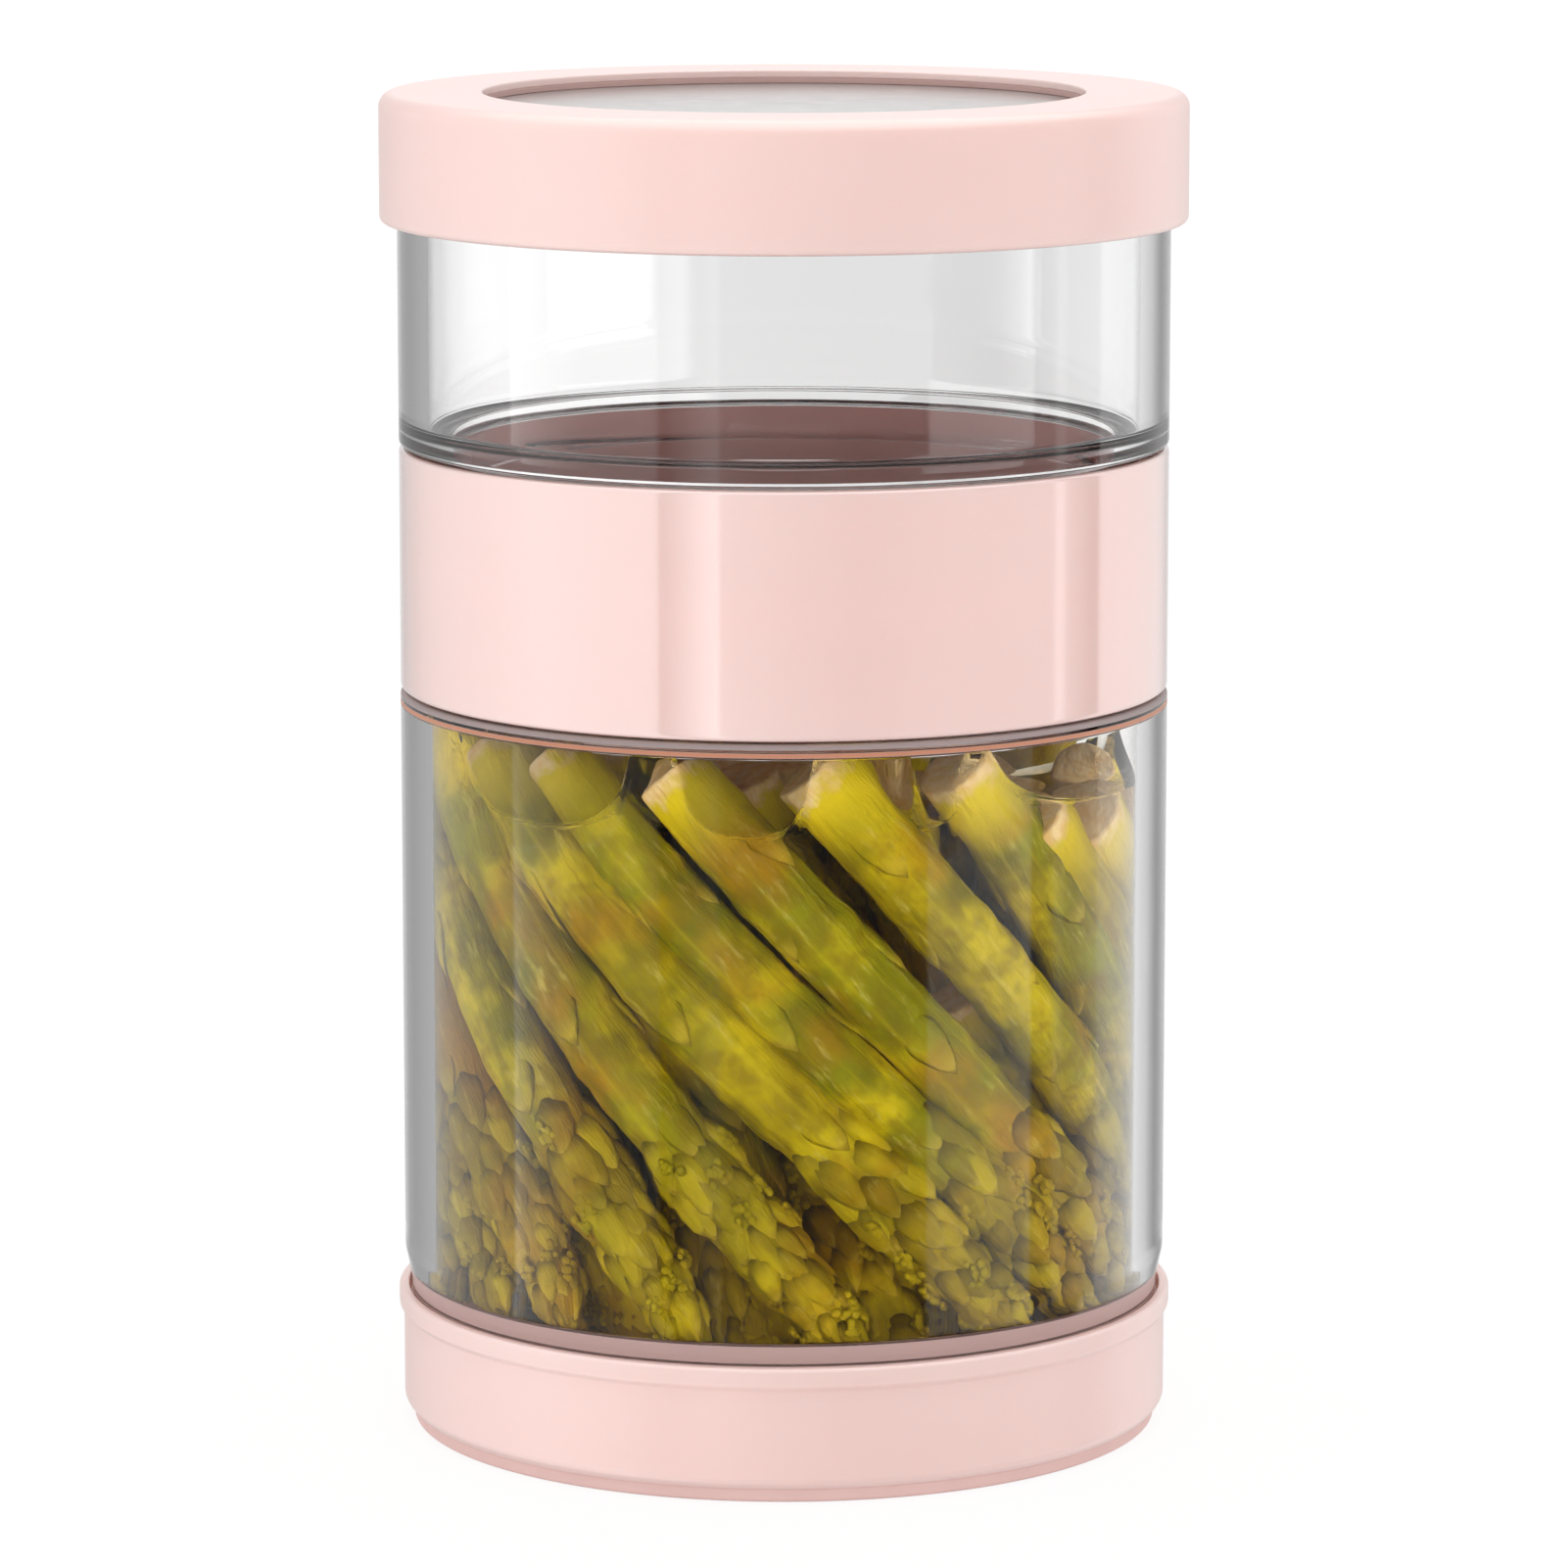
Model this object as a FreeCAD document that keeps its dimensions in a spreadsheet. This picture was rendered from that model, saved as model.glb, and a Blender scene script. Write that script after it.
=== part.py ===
"""Flip-over pickle keeper: two clear chambers joined by a collar that holds a strainer.

Origin at the centre of the foot, on the surface that the keeper stands on; +Z runs up its axis.
Every piece is turned about +Z. Lengths are in millimetres.

From the floor up: foot_ring, base_cap, base_gasket, lower_chamber, lower_collar_gasket, collar,
strainer, upper_collar_gasket, upper_chamber, lid_gasket, lid_shell, window_seal, lid_window.

The four screw joints share one right-handed, three-start thread. A socket's ridges lie halfway between
the neck's ridges, so a neck that turns by one turn rises by one lead and touches nothing.
"""

import FreeCAD, Part
import os
import re

import Sketcher

SIZES = {
    # Both chambers and the collar
    "body_radius": 49.0,
    "body_wall": 3.8,
    "seam": 0.3,  # gap between a chamber and the collar, base cap or lid beside it
    "corner_round": 0.7,  # outer edges of the chambers and the collar
    "inside_round": 1.5,  # where a chamber's wall meets its shoulder
    "lower_height": 78.8,  # lower chamber between its two necks
    "upper_height": 30.1,  # upper chamber between its two necks
    "shoulder": 2.0,  # thickness of a chamber's end beside the collar
    "floor_shoulder": 3.4,  # thickness of the lower chamber's bottom end
    "tuck": 0.9,  # how far the lower chamber narrows to enter the base cap
    "tuck_top": 6.4,  # height of that narrowing above the chamber's bottom
    "tuck_straight": 2.0,
    "collar_height": 30.8,
    # Necks: three alike, and a wider one under the lid
    "neck_bore": 42.1,
    "neck_radius": 44.6,
    "neck_length": 11.0,
    "mouth_bore": 43.2,
    "mouth_radius": 46.2,
    # Thread
    "thread_lead": 12.0,
    "thread_starts": 3,
    "thread_turns": 0.4,
    "thread_depth": 1.1,
    "thread_width": 1.9,
    "thread_flank": 0.5,
    "thread_margin": 1.0,  # from the low end of a neck to its first ridge
    "thread_slack": 0.4,  # radial room between a crest and the root that faces it
    "thread_sink": 0.4,  # how deep a ridge is rooted in its wall
    # Gaskets
    "gasket_thickness": 1.2,
    "gasket_inset": 0.3,  # from the socket's wall to the gasket
    "gasket_width": 3.4,
    # Collar's ledge and the strainer
    "ledge_lip": 2.0,
    "lip_bore": 39.5,
    "strainer_radius": 41.7,
    "strainer_wall": 1.4,
    "strainer_floor": 1.8,
    "strainer_depth": 12.8,
    "knob_radius": 7.5,
    "knob_height": 3.5,
    "knob_below_rim": 3.0,
    "knob_slope": 1.5,
    "stem_radius": 4.5,
    "knob_round": 1.2,
    "hole_radius": 2.0,
    "first_hole_ring": 12.5,
    "hole_ring_step": 7.0,
    # Base cap and its foot
    "foot_drop": 1.5,
    "foot_recess": 0.8,
    "foot_radius": 47.9,
    "foot_width": 3.9,
    "foot_round": 0.4,
    "cap_radius": 49.2,
    "cap_floor": 2.5,
    "cap_round": 1.2,
    "cap_height": 15.9,
    "bead_radius": 49.8,
    "bead_height": 3.0,
    "bead_round": 0.55,
    "rim_bore": 48.5,
    "rim_land": 0.3,  # clear height below the chamber's bottom inside the rim
    # Lid and its window
    "lid_radius": 51.2,
    "lid_height": 16.3,
    "lid_bottom_round": 1.4,
    "lid_top_round": 1.8,
    "lid_lap": 1.9,  # how far the skirt covers the upper chamber
    "window_bore": 38.1,
    "window_edge": 1.0,
    "window_drop": 1.75,
    "window_radius": 40.8,
    "window_thickness": 2.0,
    "rib_slack": 0.2,
    "rib_width": 1.2,
    "rib_bottom": 0.5,
    "opening_round": 0.35,
}
HOLE_COUNTS = (8, 12, 18, 22)  # holes in each ring of the strainer, from the knob outwards

# Heights above the floor, written in the sizes' names
FLOOR_TOP = "foot_drop + cap_floor"
BASE_NECK_END = FLOOR_TOP + " + gasket_thickness"
LOWER_BOTTOM = BASE_NECK_END + " + neck_length"
LOWER_TOP = LOWER_BOTTOM + " + lower_height"
LOWER_NECK_END = LOWER_TOP + " + neck_length"
COLLAR_BOTTOM = LOWER_TOP + " + seam"
COLLAR_TOP = COLLAR_BOTTOM + " + collar_height"
LEDGE_BOTTOM = LOWER_NECK_END + " + gasket_thickness"
LIP_TOP = LEDGE_BOTTOM + " + ledge_lip"
UPPER_BOTTOM = COLLAR_TOP + " + seam"
UPPER_NECK_END = UPPER_BOTTOM + " - neck_length"
LEDGE_TOP = UPPER_NECK_END + " - gasket_thickness"
UPPER_TOP = UPPER_BOTTOM + " + upper_height"
MOUTH_END = UPPER_TOP + " + neck_length"
LID_BOTTOM = UPPER_TOP + " - lid_lap"
LID_TOP = LID_BOTTOM + " + lid_height"
LID_UNDERSIDE = MOUTH_END + " + gasket_thickness"
WINDOW_TOP = LID_TOP + " - window_drop"
RIM_TOP = "foot_drop + cap_height"

# Radii worked out from the sizes
BODY_BORE = "body_radius - body_wall"
THREAD_CREST = "neck_radius + thread_depth"
SOCKET_CREST = "neck_radius + thread_slack"
SOCKET_BORE = THREAD_CREST + " + thread_slack"
MOUTH_CREST = "mouth_radius + thread_depth"
LID_CREST = "mouth_radius + thread_slack"
LID_BORE = MOUTH_CREST + " + thread_slack"
SKIRT_BORE = "body_radius + seam"
RIB_BORE = "window_radius + rib_slack"
HALF_PITCH = "thread_lead / thread_starts / 2"

ON_AXIS = "0"
SAME = 1e-4  # two lengths this close are the same length

doc = FreeCAD.newDocument("PickleKeeper")
sheet = doc.addObject("Spreadsheet::Sheet", "Sizes")


def fill_sheet():
    """Writes each driving size in a row of its own, with its name as the alias."""
    for row, (name, size) in enumerate(SIZES.items(), start=1):
        sheet.set(f"A{row}", name)
        sheet.set(f"B{row}", str(size))
        sheet.setAlias(f"B{row}", name)
    doc.recompute()


def linked(expression):
    """The expression with each size's name pointing into the spreadsheet."""
    return re.sub(r"[a-z]\w*", r"Sizes.\g<0>", expression)


def value(expression):
    """The number that an expression in the sizes' names comes to."""
    return float(sheet.evalExpression(linked(expression)))


def new_body(label):
    """An empty body that will be one piece of the keeper."""
    body = doc.addObject("PartDesign::Body", label.title().replace("_", ""))
    body.Label = label
    body.Placement = FreeCAD.Placement()
    return body


def origin_feature(body, role):
    """One of the body's own origin planes or axes."""
    return next(feature for feature in body.Origin.OriginFeatures if feature.Role == role)


def new_sketch(body, name, plane):
    """An empty sketch on one of the body's origin planes."""
    sketch = body.newObject("Sketcher::SketchObject", name)
    sketch.AttachmentSupport = (origin_feature(body, plane), [""])
    sketch.MapMode = "FlatFace"
    return sketch


def hold(sketch, direction, line, expression):
    """Holds the start of a line at the distance from the origin that the expression gives."""
    distance = value(expression)
    if abs(distance) < SAME:
        axis = -2 if direction == "DistanceX" else -1
        sketch.addConstraint(Sketcher.Constraint("PointOnObject", line, 1, axis))
        return
    index = sketch.addConstraint(Sketcher.Constraint(direction, -1, 1, line, 1, distance))
    sketch.setExpression(f"Constraints[{index}]", linked(expression))


def section(body, name, corners):
    """A closed outline in the XZ plane. Each corner is a radius and a height."""
    sketch = new_sketch(body, name, "XZ_Plane")
    points = [FreeCAD.Vector(value(radius), value(height), 0) for radius, height in corners]
    count = len(points)
    for line in range(count):
        sketch.addGeometry(Part.LineSegment(points[line], points[(line + 1) % count]), False)
    for line in range(count):
        sketch.addConstraint(Sketcher.Constraint("Coincident", line, 2, (line + 1) % count, 1))
    for line, (radius, height) in enumerate(corners):
        hold(sketch, "DistanceX", line, radius)
        hold(sketch, "DistanceY", line, height)
    return sketch


def turned(label, corners):
    """A piece turned about +Z from the outline of half its section."""
    body = new_body(label)
    outline = section(body, "Outline", corners)
    solid = body.newObject("PartDesign::Revolution", "Turning")
    solid.Profile = outline
    solid.ReferenceAxis = (outline, ["V_Axis"])
    solid.Angle = 360
    doc.recompute()
    return body


def ring_edge(shape, radius, height):
    """The name of the round edge that has this radius at this height."""
    wanted = (value(radius), value(height))
    for number, edge in enumerate(shape.Edges, start=1):
        curve = edge.Curve
        if not isinstance(curve, Part.Circle):
            continue
        if abs(curve.Radius - wanted[0]) < SAME and abs(curve.Center.z - wanted[1]) < SAME:
            return f"Edge{number}"
    raise ValueError(f"no round edge at radius {wanted[0]}, height {wanted[1]}")


def rounded(body, size, places):
    """Rounds the ring edges at these radii and heights."""
    base = body.Tip
    rounding = body.newObject("PartDesign::Fillet", "Rounding")
    rounding.Base = (base, [ring_edge(base.Shape, radius, height) for radius, height in places])
    rounding.Radius = value(size)
    rounding.setExpression("Radius", linked(size))
    doc.recompute()


def repeated(body, feature, count):
    """Repeats the body's last feature evenly around +Z."""
    pattern = body.newObject("PartDesign::PolarPattern", "Around")
    pattern.Originals = [feature]
    pattern.Axis = (origin_feature(body, "Z_Axis"), [""])
    pattern.Angle = 360
    if isinstance(count, int):
        pattern.Occurrences = count
    else:
        pattern.setExpression("Occurrences", linked(count))
    body.Tip = pattern
    doc.recompute()


def threaded(body, low, root, crest):
    """Adds ridges that wind up from the height low, rooted in the wall at root, out to crest."""
    ridge_top = f"{low} + thread_width"
    corners = [
        (root, low),
        (crest, f"{low} + thread_flank"),
        (crest, f"{ridge_top} - thread_flank"),
        (root, ridge_top),
    ]
    outline = section(body, "RidgeSection", corners)
    ridge = body.newObject("PartDesign::AdditiveHelix", "Ridge")
    ridge.Profile = outline
    ridge.ReferenceAxis = (outline, ["V_Axis"])
    ridge.Mode = "pitch-turns-angle"
    ridge.setExpression("Pitch", linked("thread_lead"))
    ridge.setExpression("Turns", linked("thread_turns"))
    doc.recompute()
    repeated(body, ridge, "thread_starts")


def neck_thread(body, low, root="neck_radius", crest=THREAD_CREST):
    """The thread outside a neck whose low end is at this height."""
    threaded(body, f"{low} + thread_margin", f"{root} - thread_sink", crest)


def socket_thread(body, low, wall=SOCKET_BORE, crest=SOCKET_CREST):
    """The thread inside a socket, half a pitch above the thread of the neck that it takes."""
    start = f"{low} + thread_margin + {HALF_PITCH}"
    threaded(body, start, f"{wall} + thread_sink", crest)


def ring(label, bore, radius, bottom, top):
    """A flat ring, such as a gasket."""
    return turned(label, [(bore, bottom), (radius, bottom), (radius, top), (bore, top)])


def make_foot_ring():
    """Non-slip ring pressed into a groove under the base cap; the keeper stands on it."""
    bore = "foot_radius - foot_width"
    body = ring("foot_ring", bore, "foot_radius", ON_AXIS, "foot_drop + foot_recess")
    rounded(body, "foot_round", [("foot_radius", ON_AXIS), (bore, ON_AXIS)])


def make_base_cap():
    """Screw cap with a beaded rim that the lower chamber's bottom edge sits inside."""
    groove_bore = "foot_radius - foot_width"
    groove_top = "foot_drop + foot_recess"
    land = LOWER_BOTTOM + " - rim_land"
    bead_bottom = RIM_TOP + " - bead_height"
    body = turned("base_cap", [
        (ON_AXIS, "foot_drop"),
        (groove_bore, "foot_drop"),
        (groove_bore, groove_top),
        ("foot_radius", groove_top),
        ("foot_radius", "foot_drop"),
        ("cap_radius", "foot_drop + cap_radius - foot_radius"),
        ("cap_radius", bead_bottom),
        ("bead_radius", bead_bottom + " + bead_radius - cap_radius"),
        ("bead_radius", RIM_TOP),
        ("rim_bore", RIM_TOP),
        ("rim_bore", land),
        (SOCKET_BORE, land),
        (SOCKET_BORE, FLOOR_TOP),
        (ON_AXIS, FLOOR_TOP),
    ])
    rounded(body, "bead_round", [("bead_radius", RIM_TOP), ("rim_bore", RIM_TOP)])
    rounded(body, "cap_round", [("cap_radius", "foot_drop + cap_radius - foot_radius")])
    socket_thread(body, BASE_NECK_END)


def make_base_gasket():
    """Seals the lower chamber's bottom neck against the floor of the base cap."""
    radius = f"{SOCKET_BORE} - gasket_inset"
    ring("base_gasket", f"{radius} - gasket_width", radius, FLOOR_TOP, BASE_NECK_END)


def make_lower_chamber():
    """Tall clear tube with a shoulder and a threaded neck at each end."""
    tucked = "body_radius - tuck"
    body = turned("lower_chamber", [
        ("neck_bore", BASE_NECK_END),
        ("neck_radius", BASE_NECK_END),
        ("neck_radius", LOWER_BOTTOM),
        (tucked, LOWER_BOTTOM),
        (tucked, LOWER_BOTTOM + " + tuck_straight"),
        ("body_radius", LOWER_BOTTOM + " + tuck_top"),
        ("body_radius", LOWER_TOP),
        ("neck_radius", LOWER_TOP),
        ("neck_radius", LOWER_NECK_END),
        ("neck_bore", LOWER_NECK_END),
        ("neck_bore", LOWER_TOP + " - shoulder"),
        (BODY_BORE, LOWER_TOP + " - shoulder"),
        (BODY_BORE, LOWER_BOTTOM + " + floor_shoulder"),
        ("neck_bore", LOWER_BOTTOM + " + floor_shoulder"),
    ])
    rounded(body, "corner_round", [("body_radius", LOWER_TOP), (tucked, LOWER_BOTTOM)])
    rounded(body, "inside_round", [
        (BODY_BORE, LOWER_TOP + " - shoulder"),
        (BODY_BORE, LOWER_BOTTOM + " + floor_shoulder"),
    ])
    neck_thread(body, BASE_NECK_END)
    neck_thread(body, LOWER_TOP)


def make_lower_collar_gasket():
    """Seals the lower chamber's top neck against the underside of the collar's ledge."""
    radius = f"{SOCKET_BORE} - gasket_inset"
    ring("lower_collar_gasket", f"{radius} - gasket_width", radius, LOWER_NECK_END, LEDGE_BOTTOM)


def make_collar():
    """Sleeve with a socket at each end and, between them, a ledge whose lip carries the strainer."""
    body = turned("collar", [
        (SOCKET_BORE, COLLAR_BOTTOM),
        ("body_radius", COLLAR_BOTTOM),
        ("body_radius", COLLAR_TOP),
        (SOCKET_BORE, COLLAR_TOP),
        (SOCKET_BORE, LEDGE_TOP),
        ("neck_bore", LEDGE_TOP),
        ("neck_bore", LIP_TOP),
        ("lip_bore", LIP_TOP),
        ("lip_bore", LEDGE_BOTTOM),
        (SOCKET_BORE, LEDGE_BOTTOM),
    ])
    rounded(body, "corner_round", [("body_radius", COLLAR_BOTTOM), ("body_radius", COLLAR_TOP)])
    socket_thread(body, LOWER_TOP)
    socket_thread(body, UPPER_NECK_END)


def make_strainer():
    """Shallow round strainer with a finger knob; it drops into the collar and lifts out upwards."""
    rim_top = LIP_TOP + " + strainer_depth"
    floor_top = LIP_TOP + " + strainer_floor"
    knob_top = rim_top + " - knob_below_rim"
    knob_bottom = knob_top + " - knob_height"
    wall_bore = "strainer_radius - strainer_wall"
    body = turned("strainer", [
        (ON_AXIS, LIP_TOP),
        ("strainer_radius", LIP_TOP),
        ("strainer_radius", rim_top),
        (wall_bore, rim_top),
        (wall_bore, floor_top),
        ("stem_radius", floor_top),
        ("stem_radius", knob_bottom + " - knob_slope"),
        ("knob_radius", knob_bottom),
        ("knob_radius", knob_top),
        (ON_AXIS, knob_top),
    ])
    rounded(body, "knob_round", [("knob_radius", knob_top), (wall_bore, floor_top)])
    for number, count in enumerate(HOLE_COUNTS):
        drain_holes(body, f"first_hole_ring + {number} * hole_ring_step", count)


def drain_holes(body, distance, count):
    """One ring of round holes through the strainer's floor, at this distance from the axis."""
    sketch = new_sketch(body, "Hole", "XY_Plane")
    centre = FreeCAD.Vector(value(distance), 0, 0)
    circle = Part.Circle(centre, FreeCAD.Vector(0, 0, 1), value("hole_radius"))
    sketch.addGeometry(circle, False)
    sketch.addConstraint(Sketcher.Constraint("PointOnObject", 0, 3, -1))
    place = sketch.addConstraint(Sketcher.Constraint("DistanceX", -1, 1, 0, 3, value(distance)))
    sketch.setExpression(f"Constraints[{place}]", linked(distance))
    size = sketch.addConstraint(Sketcher.Constraint("Radius", 0, value("hole_radius")))
    sketch.setExpression(f"Constraints[{size}]", linked("hole_radius"))
    hole = body.newObject("PartDesign::Pocket", "DrainHole")
    hole.Profile = sketch
    hole.Type = "ThroughAll"
    hole.Reversed = True
    doc.recompute()
    repeated(body, hole, count)


def make_upper_collar_gasket():
    """Seals the upper chamber's bottom neck against the top of the collar's ledge."""
    radius = f"{SOCKET_BORE} - gasket_inset"
    ring("upper_collar_gasket", f"{radius} - gasket_width", radius, LEDGE_TOP, UPPER_NECK_END)


def make_upper_chamber():
    """Short clear tube: a neck below for the collar, and a wide mouth above for the lid."""
    floor_top = UPPER_BOTTOM + " + shoulder"
    body = turned("upper_chamber", [
        ("neck_bore", UPPER_NECK_END),
        ("neck_radius", UPPER_NECK_END),
        ("neck_radius", UPPER_BOTTOM),
        ("body_radius", UPPER_BOTTOM),
        ("body_radius", UPPER_TOP),
        ("mouth_radius", UPPER_TOP),
        ("mouth_radius", MOUTH_END),
        ("mouth_bore", MOUTH_END),
        ("mouth_bore", UPPER_TOP),
        (BODY_BORE, UPPER_TOP + " - shoulder"),
        (BODY_BORE, floor_top),
        ("neck_bore", floor_top),
    ])
    rounded(body, "corner_round", [("body_radius", UPPER_BOTTOM), ("body_radius", UPPER_TOP)])
    rounded(body, "inside_round", [(BODY_BORE, floor_top)])
    neck_thread(body, UPPER_NECK_END)
    neck_thread(body, UPPER_TOP, "mouth_radius", MOUTH_CREST)


def make_lid_gasket():
    """Seals the upper chamber's mouth against the underside of the lid."""
    radius = f"{LID_BORE} - gasket_inset"
    bore = f"{RIB_BORE} + rib_width + gasket_inset"
    ring("lid_gasket", bore, radius, MOUTH_END, LID_UNDERSIDE)


def make_lid_shell():
    """Screw lid: a deep ring with a round opening, a pocket for the window and a skirt."""
    skirt_top = UPPER_TOP + " + seam"
    pocket_top = LID_TOP + " - window_edge"
    rib_foot = LID_UNDERSIDE + " - window_thickness + rib_bottom"
    rib_radius = f"{RIB_BORE} + rib_width"
    body = turned("lid_shell", [
        (SKIRT_BORE, LID_BOTTOM),
        ("lid_radius", LID_BOTTOM),
        ("lid_radius", LID_TOP),
        ("window_bore", LID_TOP),
        ("window_bore", pocket_top),
        (RIB_BORE, pocket_top),
        (RIB_BORE, rib_foot),
        (rib_radius, rib_foot),
        (rib_radius, LID_UNDERSIDE),
        (LID_BORE, LID_UNDERSIDE),
        (LID_BORE, skirt_top),
        (SKIRT_BORE, skirt_top),
    ])
    rounded(body, "lid_top_round", [("lid_radius", LID_TOP)])
    rounded(body, "lid_bottom_round", [("lid_radius", LID_BOTTOM)])
    rounded(body, "opening_round", [("window_bore", LID_TOP)])
    socket_thread(body, UPPER_TOP, LID_BORE, LID_CREST)


def make_window_seal():
    """Thin ring between the window and the lid's edge; it shows as a strip around the window."""
    ring("window_seal", "window_bore", "window_radius", WINDOW_TOP, LID_TOP + " - window_edge")


def make_lid_window():
    """Clear disc held in the lid's pocket."""
    bottom = WINDOW_TOP + " - window_thickness"
    turned("lid_window", [
        (ON_AXIS, bottom),
        ("window_radius", bottom),
        ("window_radius", WINDOW_TOP),
        (ON_AXIS, WINDOW_TOP),
    ])


def check_document():
    """Stops if any object failed or any piece isn't one valid solid."""
    for item in doc.Objects:
        if "Invalid" in item.State or "Error" in item.State:
            raise RuntimeError(f"{item.Name} failed: {item.State}")
    for body in doc.findObjects("PartDesign::Body"):
        shape = body.Shape
        if shape.isNull() or not shape.isValid() or len(shape.Solids) != 1:
            raise RuntimeError(f"{body.Label} isn't one valid solid")


def write_pieces():
    """Writes each piece to its own STEP file, named by its label."""
    os.makedirs("parts", exist_ok=True)
    for body in doc.findObjects("PartDesign::Body"):
        body.Shape.exportStep(f"parts/{body.Label}.step")
        print(f"{body.Label}: {body.Shape.Volume / 1000:.2f} cm3, {len(body.Shape.Faces)} faces")


fill_sheet()
make_foot_ring()
make_base_cap()
make_base_gasket()
make_lower_chamber()
make_lower_collar_gasket()
make_collar()
make_strainer()
make_upper_collar_gasket()
make_upper_chamber()
make_lid_gasket()
make_lid_shell()
make_window_seal()
make_lid_window()
doc.recompute()
check_document()
write_pieces()
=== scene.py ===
"""Dressing of the pickle keeper: clear chambers, blush plastic, silicone seals, asparagus and brine.

Shapes are worked out in millimetres in the frame's own axes and turned into metres as each mesh is made.
Turned pieces are an outline carried round +Z; asparagus is a tube along a bent centre line, with pointed
scale leaves laid on it.
"""

import math

import bmesh
import bpy
import numpy as np
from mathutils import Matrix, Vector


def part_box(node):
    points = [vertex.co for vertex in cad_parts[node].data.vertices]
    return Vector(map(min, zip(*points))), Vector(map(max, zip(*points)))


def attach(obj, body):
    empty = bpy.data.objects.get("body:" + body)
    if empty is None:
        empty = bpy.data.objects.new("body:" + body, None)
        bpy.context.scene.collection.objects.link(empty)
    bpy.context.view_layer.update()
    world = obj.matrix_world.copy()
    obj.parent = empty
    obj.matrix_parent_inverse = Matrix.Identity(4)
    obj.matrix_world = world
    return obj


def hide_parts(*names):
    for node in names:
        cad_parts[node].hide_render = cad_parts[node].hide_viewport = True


MM = 0.001
SIDES = 240  # steps round a turned piece
ARC_STEPS = 6  # steps in a rounded corner
SHARP = 0.15  # rounding of a corner that looks sharp
MOST_OF_EDGE = 0.45  # the most of an edge that the rounding at one of its ends takes
KEEP_FLAT = 0.12  # how far from a rounded corner the extra points lie that keep the faces beside it flat
ON_WALL = 0.02  # how far from a wall's radius a point may lie and still count as on it
WALL_STEP = 0.22  # height between points on a threaded wall

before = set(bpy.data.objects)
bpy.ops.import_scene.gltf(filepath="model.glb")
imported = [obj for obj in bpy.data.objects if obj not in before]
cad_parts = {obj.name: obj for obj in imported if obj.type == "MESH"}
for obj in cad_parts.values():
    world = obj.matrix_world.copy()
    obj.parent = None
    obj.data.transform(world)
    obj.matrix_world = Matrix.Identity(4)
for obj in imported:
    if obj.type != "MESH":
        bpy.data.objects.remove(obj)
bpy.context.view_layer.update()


def heights(node):
    """Lowest and highest point of a CAD node, in millimetres."""
    low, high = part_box(node)
    return low.z / MM, high.z / MM


def radius_of(node):
    """Outer radius of a turned CAD node, in millimetres."""
    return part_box(node)[1].x / MM


# Sizes that the keeper's pieces share, in millimetres. A tuck is the drawn-in edge at the foot of the tall
# chamber's wall, a ridge is one start of a thread, and a seam is the gap between two pieces that meet.
BODY_RADIUS = round(radius_of("collar"), 1)
WALL = 3.8
BODY_BORE = BODY_RADIUS - WALL
SEAM = 0.3
NECK_BORE = 42.1
NECK_RADIUS = 44.6
NECK_LENGTH = 11.0
MOUTH_BORE = 43.2
MOUTH_RADIUS = 46.2
SHOULDER = 2.0
FLOOR_SHOULDER = 3.4
TUCK = 0.9
TUCK_TOP = 6.4
TUCK_STRAIGHT = 2.0
LEAD = 12.0
STARTS = 3
BETWEEN_RIDGES = LEAD / STARTS / 2
RIDGE_TURNS = 0.4
RIDGE_DEPTH = 1.1
RIDGE_WIDTH = 1.9
RIDGE_FLANK = 0.5
RIDGE_MARGIN = 1.0
RIDGE_FADE = 0.06  # radians
SLACK = 0.4
SOCKET_BORE = NECK_RADIUS + RIDGE_DEPTH + SLACK
LID_BORE = MOUTH_RADIUS + RIDGE_DEPTH + SLACK
GASKET = 1.2
LID_OPENING = 38.1
FOOT_WIDTH = 3.9

LOWER_NECK_LOW, LOWER_NECK_HIGH = heights("lower_chamber")
LOWER_BOTTOM = LOWER_NECK_LOW + NECK_LENGTH
LOWER_TOP = LOWER_NECK_HIGH - NECK_LENGTH
UPPER_NECK_LOW, MOUTH_END = heights("upper_chamber")
UPPER_BOTTOM = UPPER_NECK_LOW + NECK_LENGTH
UPPER_TOP = MOUTH_END - NECK_LENGTH
COLLAR_BOTTOM, COLLAR_TOP = heights("collar")
CAP_BOTTOM, CAP_RIM = heights("base_cap")
CAP_FLOOR = heights("base_gasket")[0]
LID_BOTTOM, LID_TOP = heights("lid_shell")
LID_UNDERSIDE = heights("lid_gasket")[1]
WINDOW_LOW, WINDOW_HIGH = heights("lid_window")


# ---------------------------------------------------------------- outlines and meshes

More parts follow.
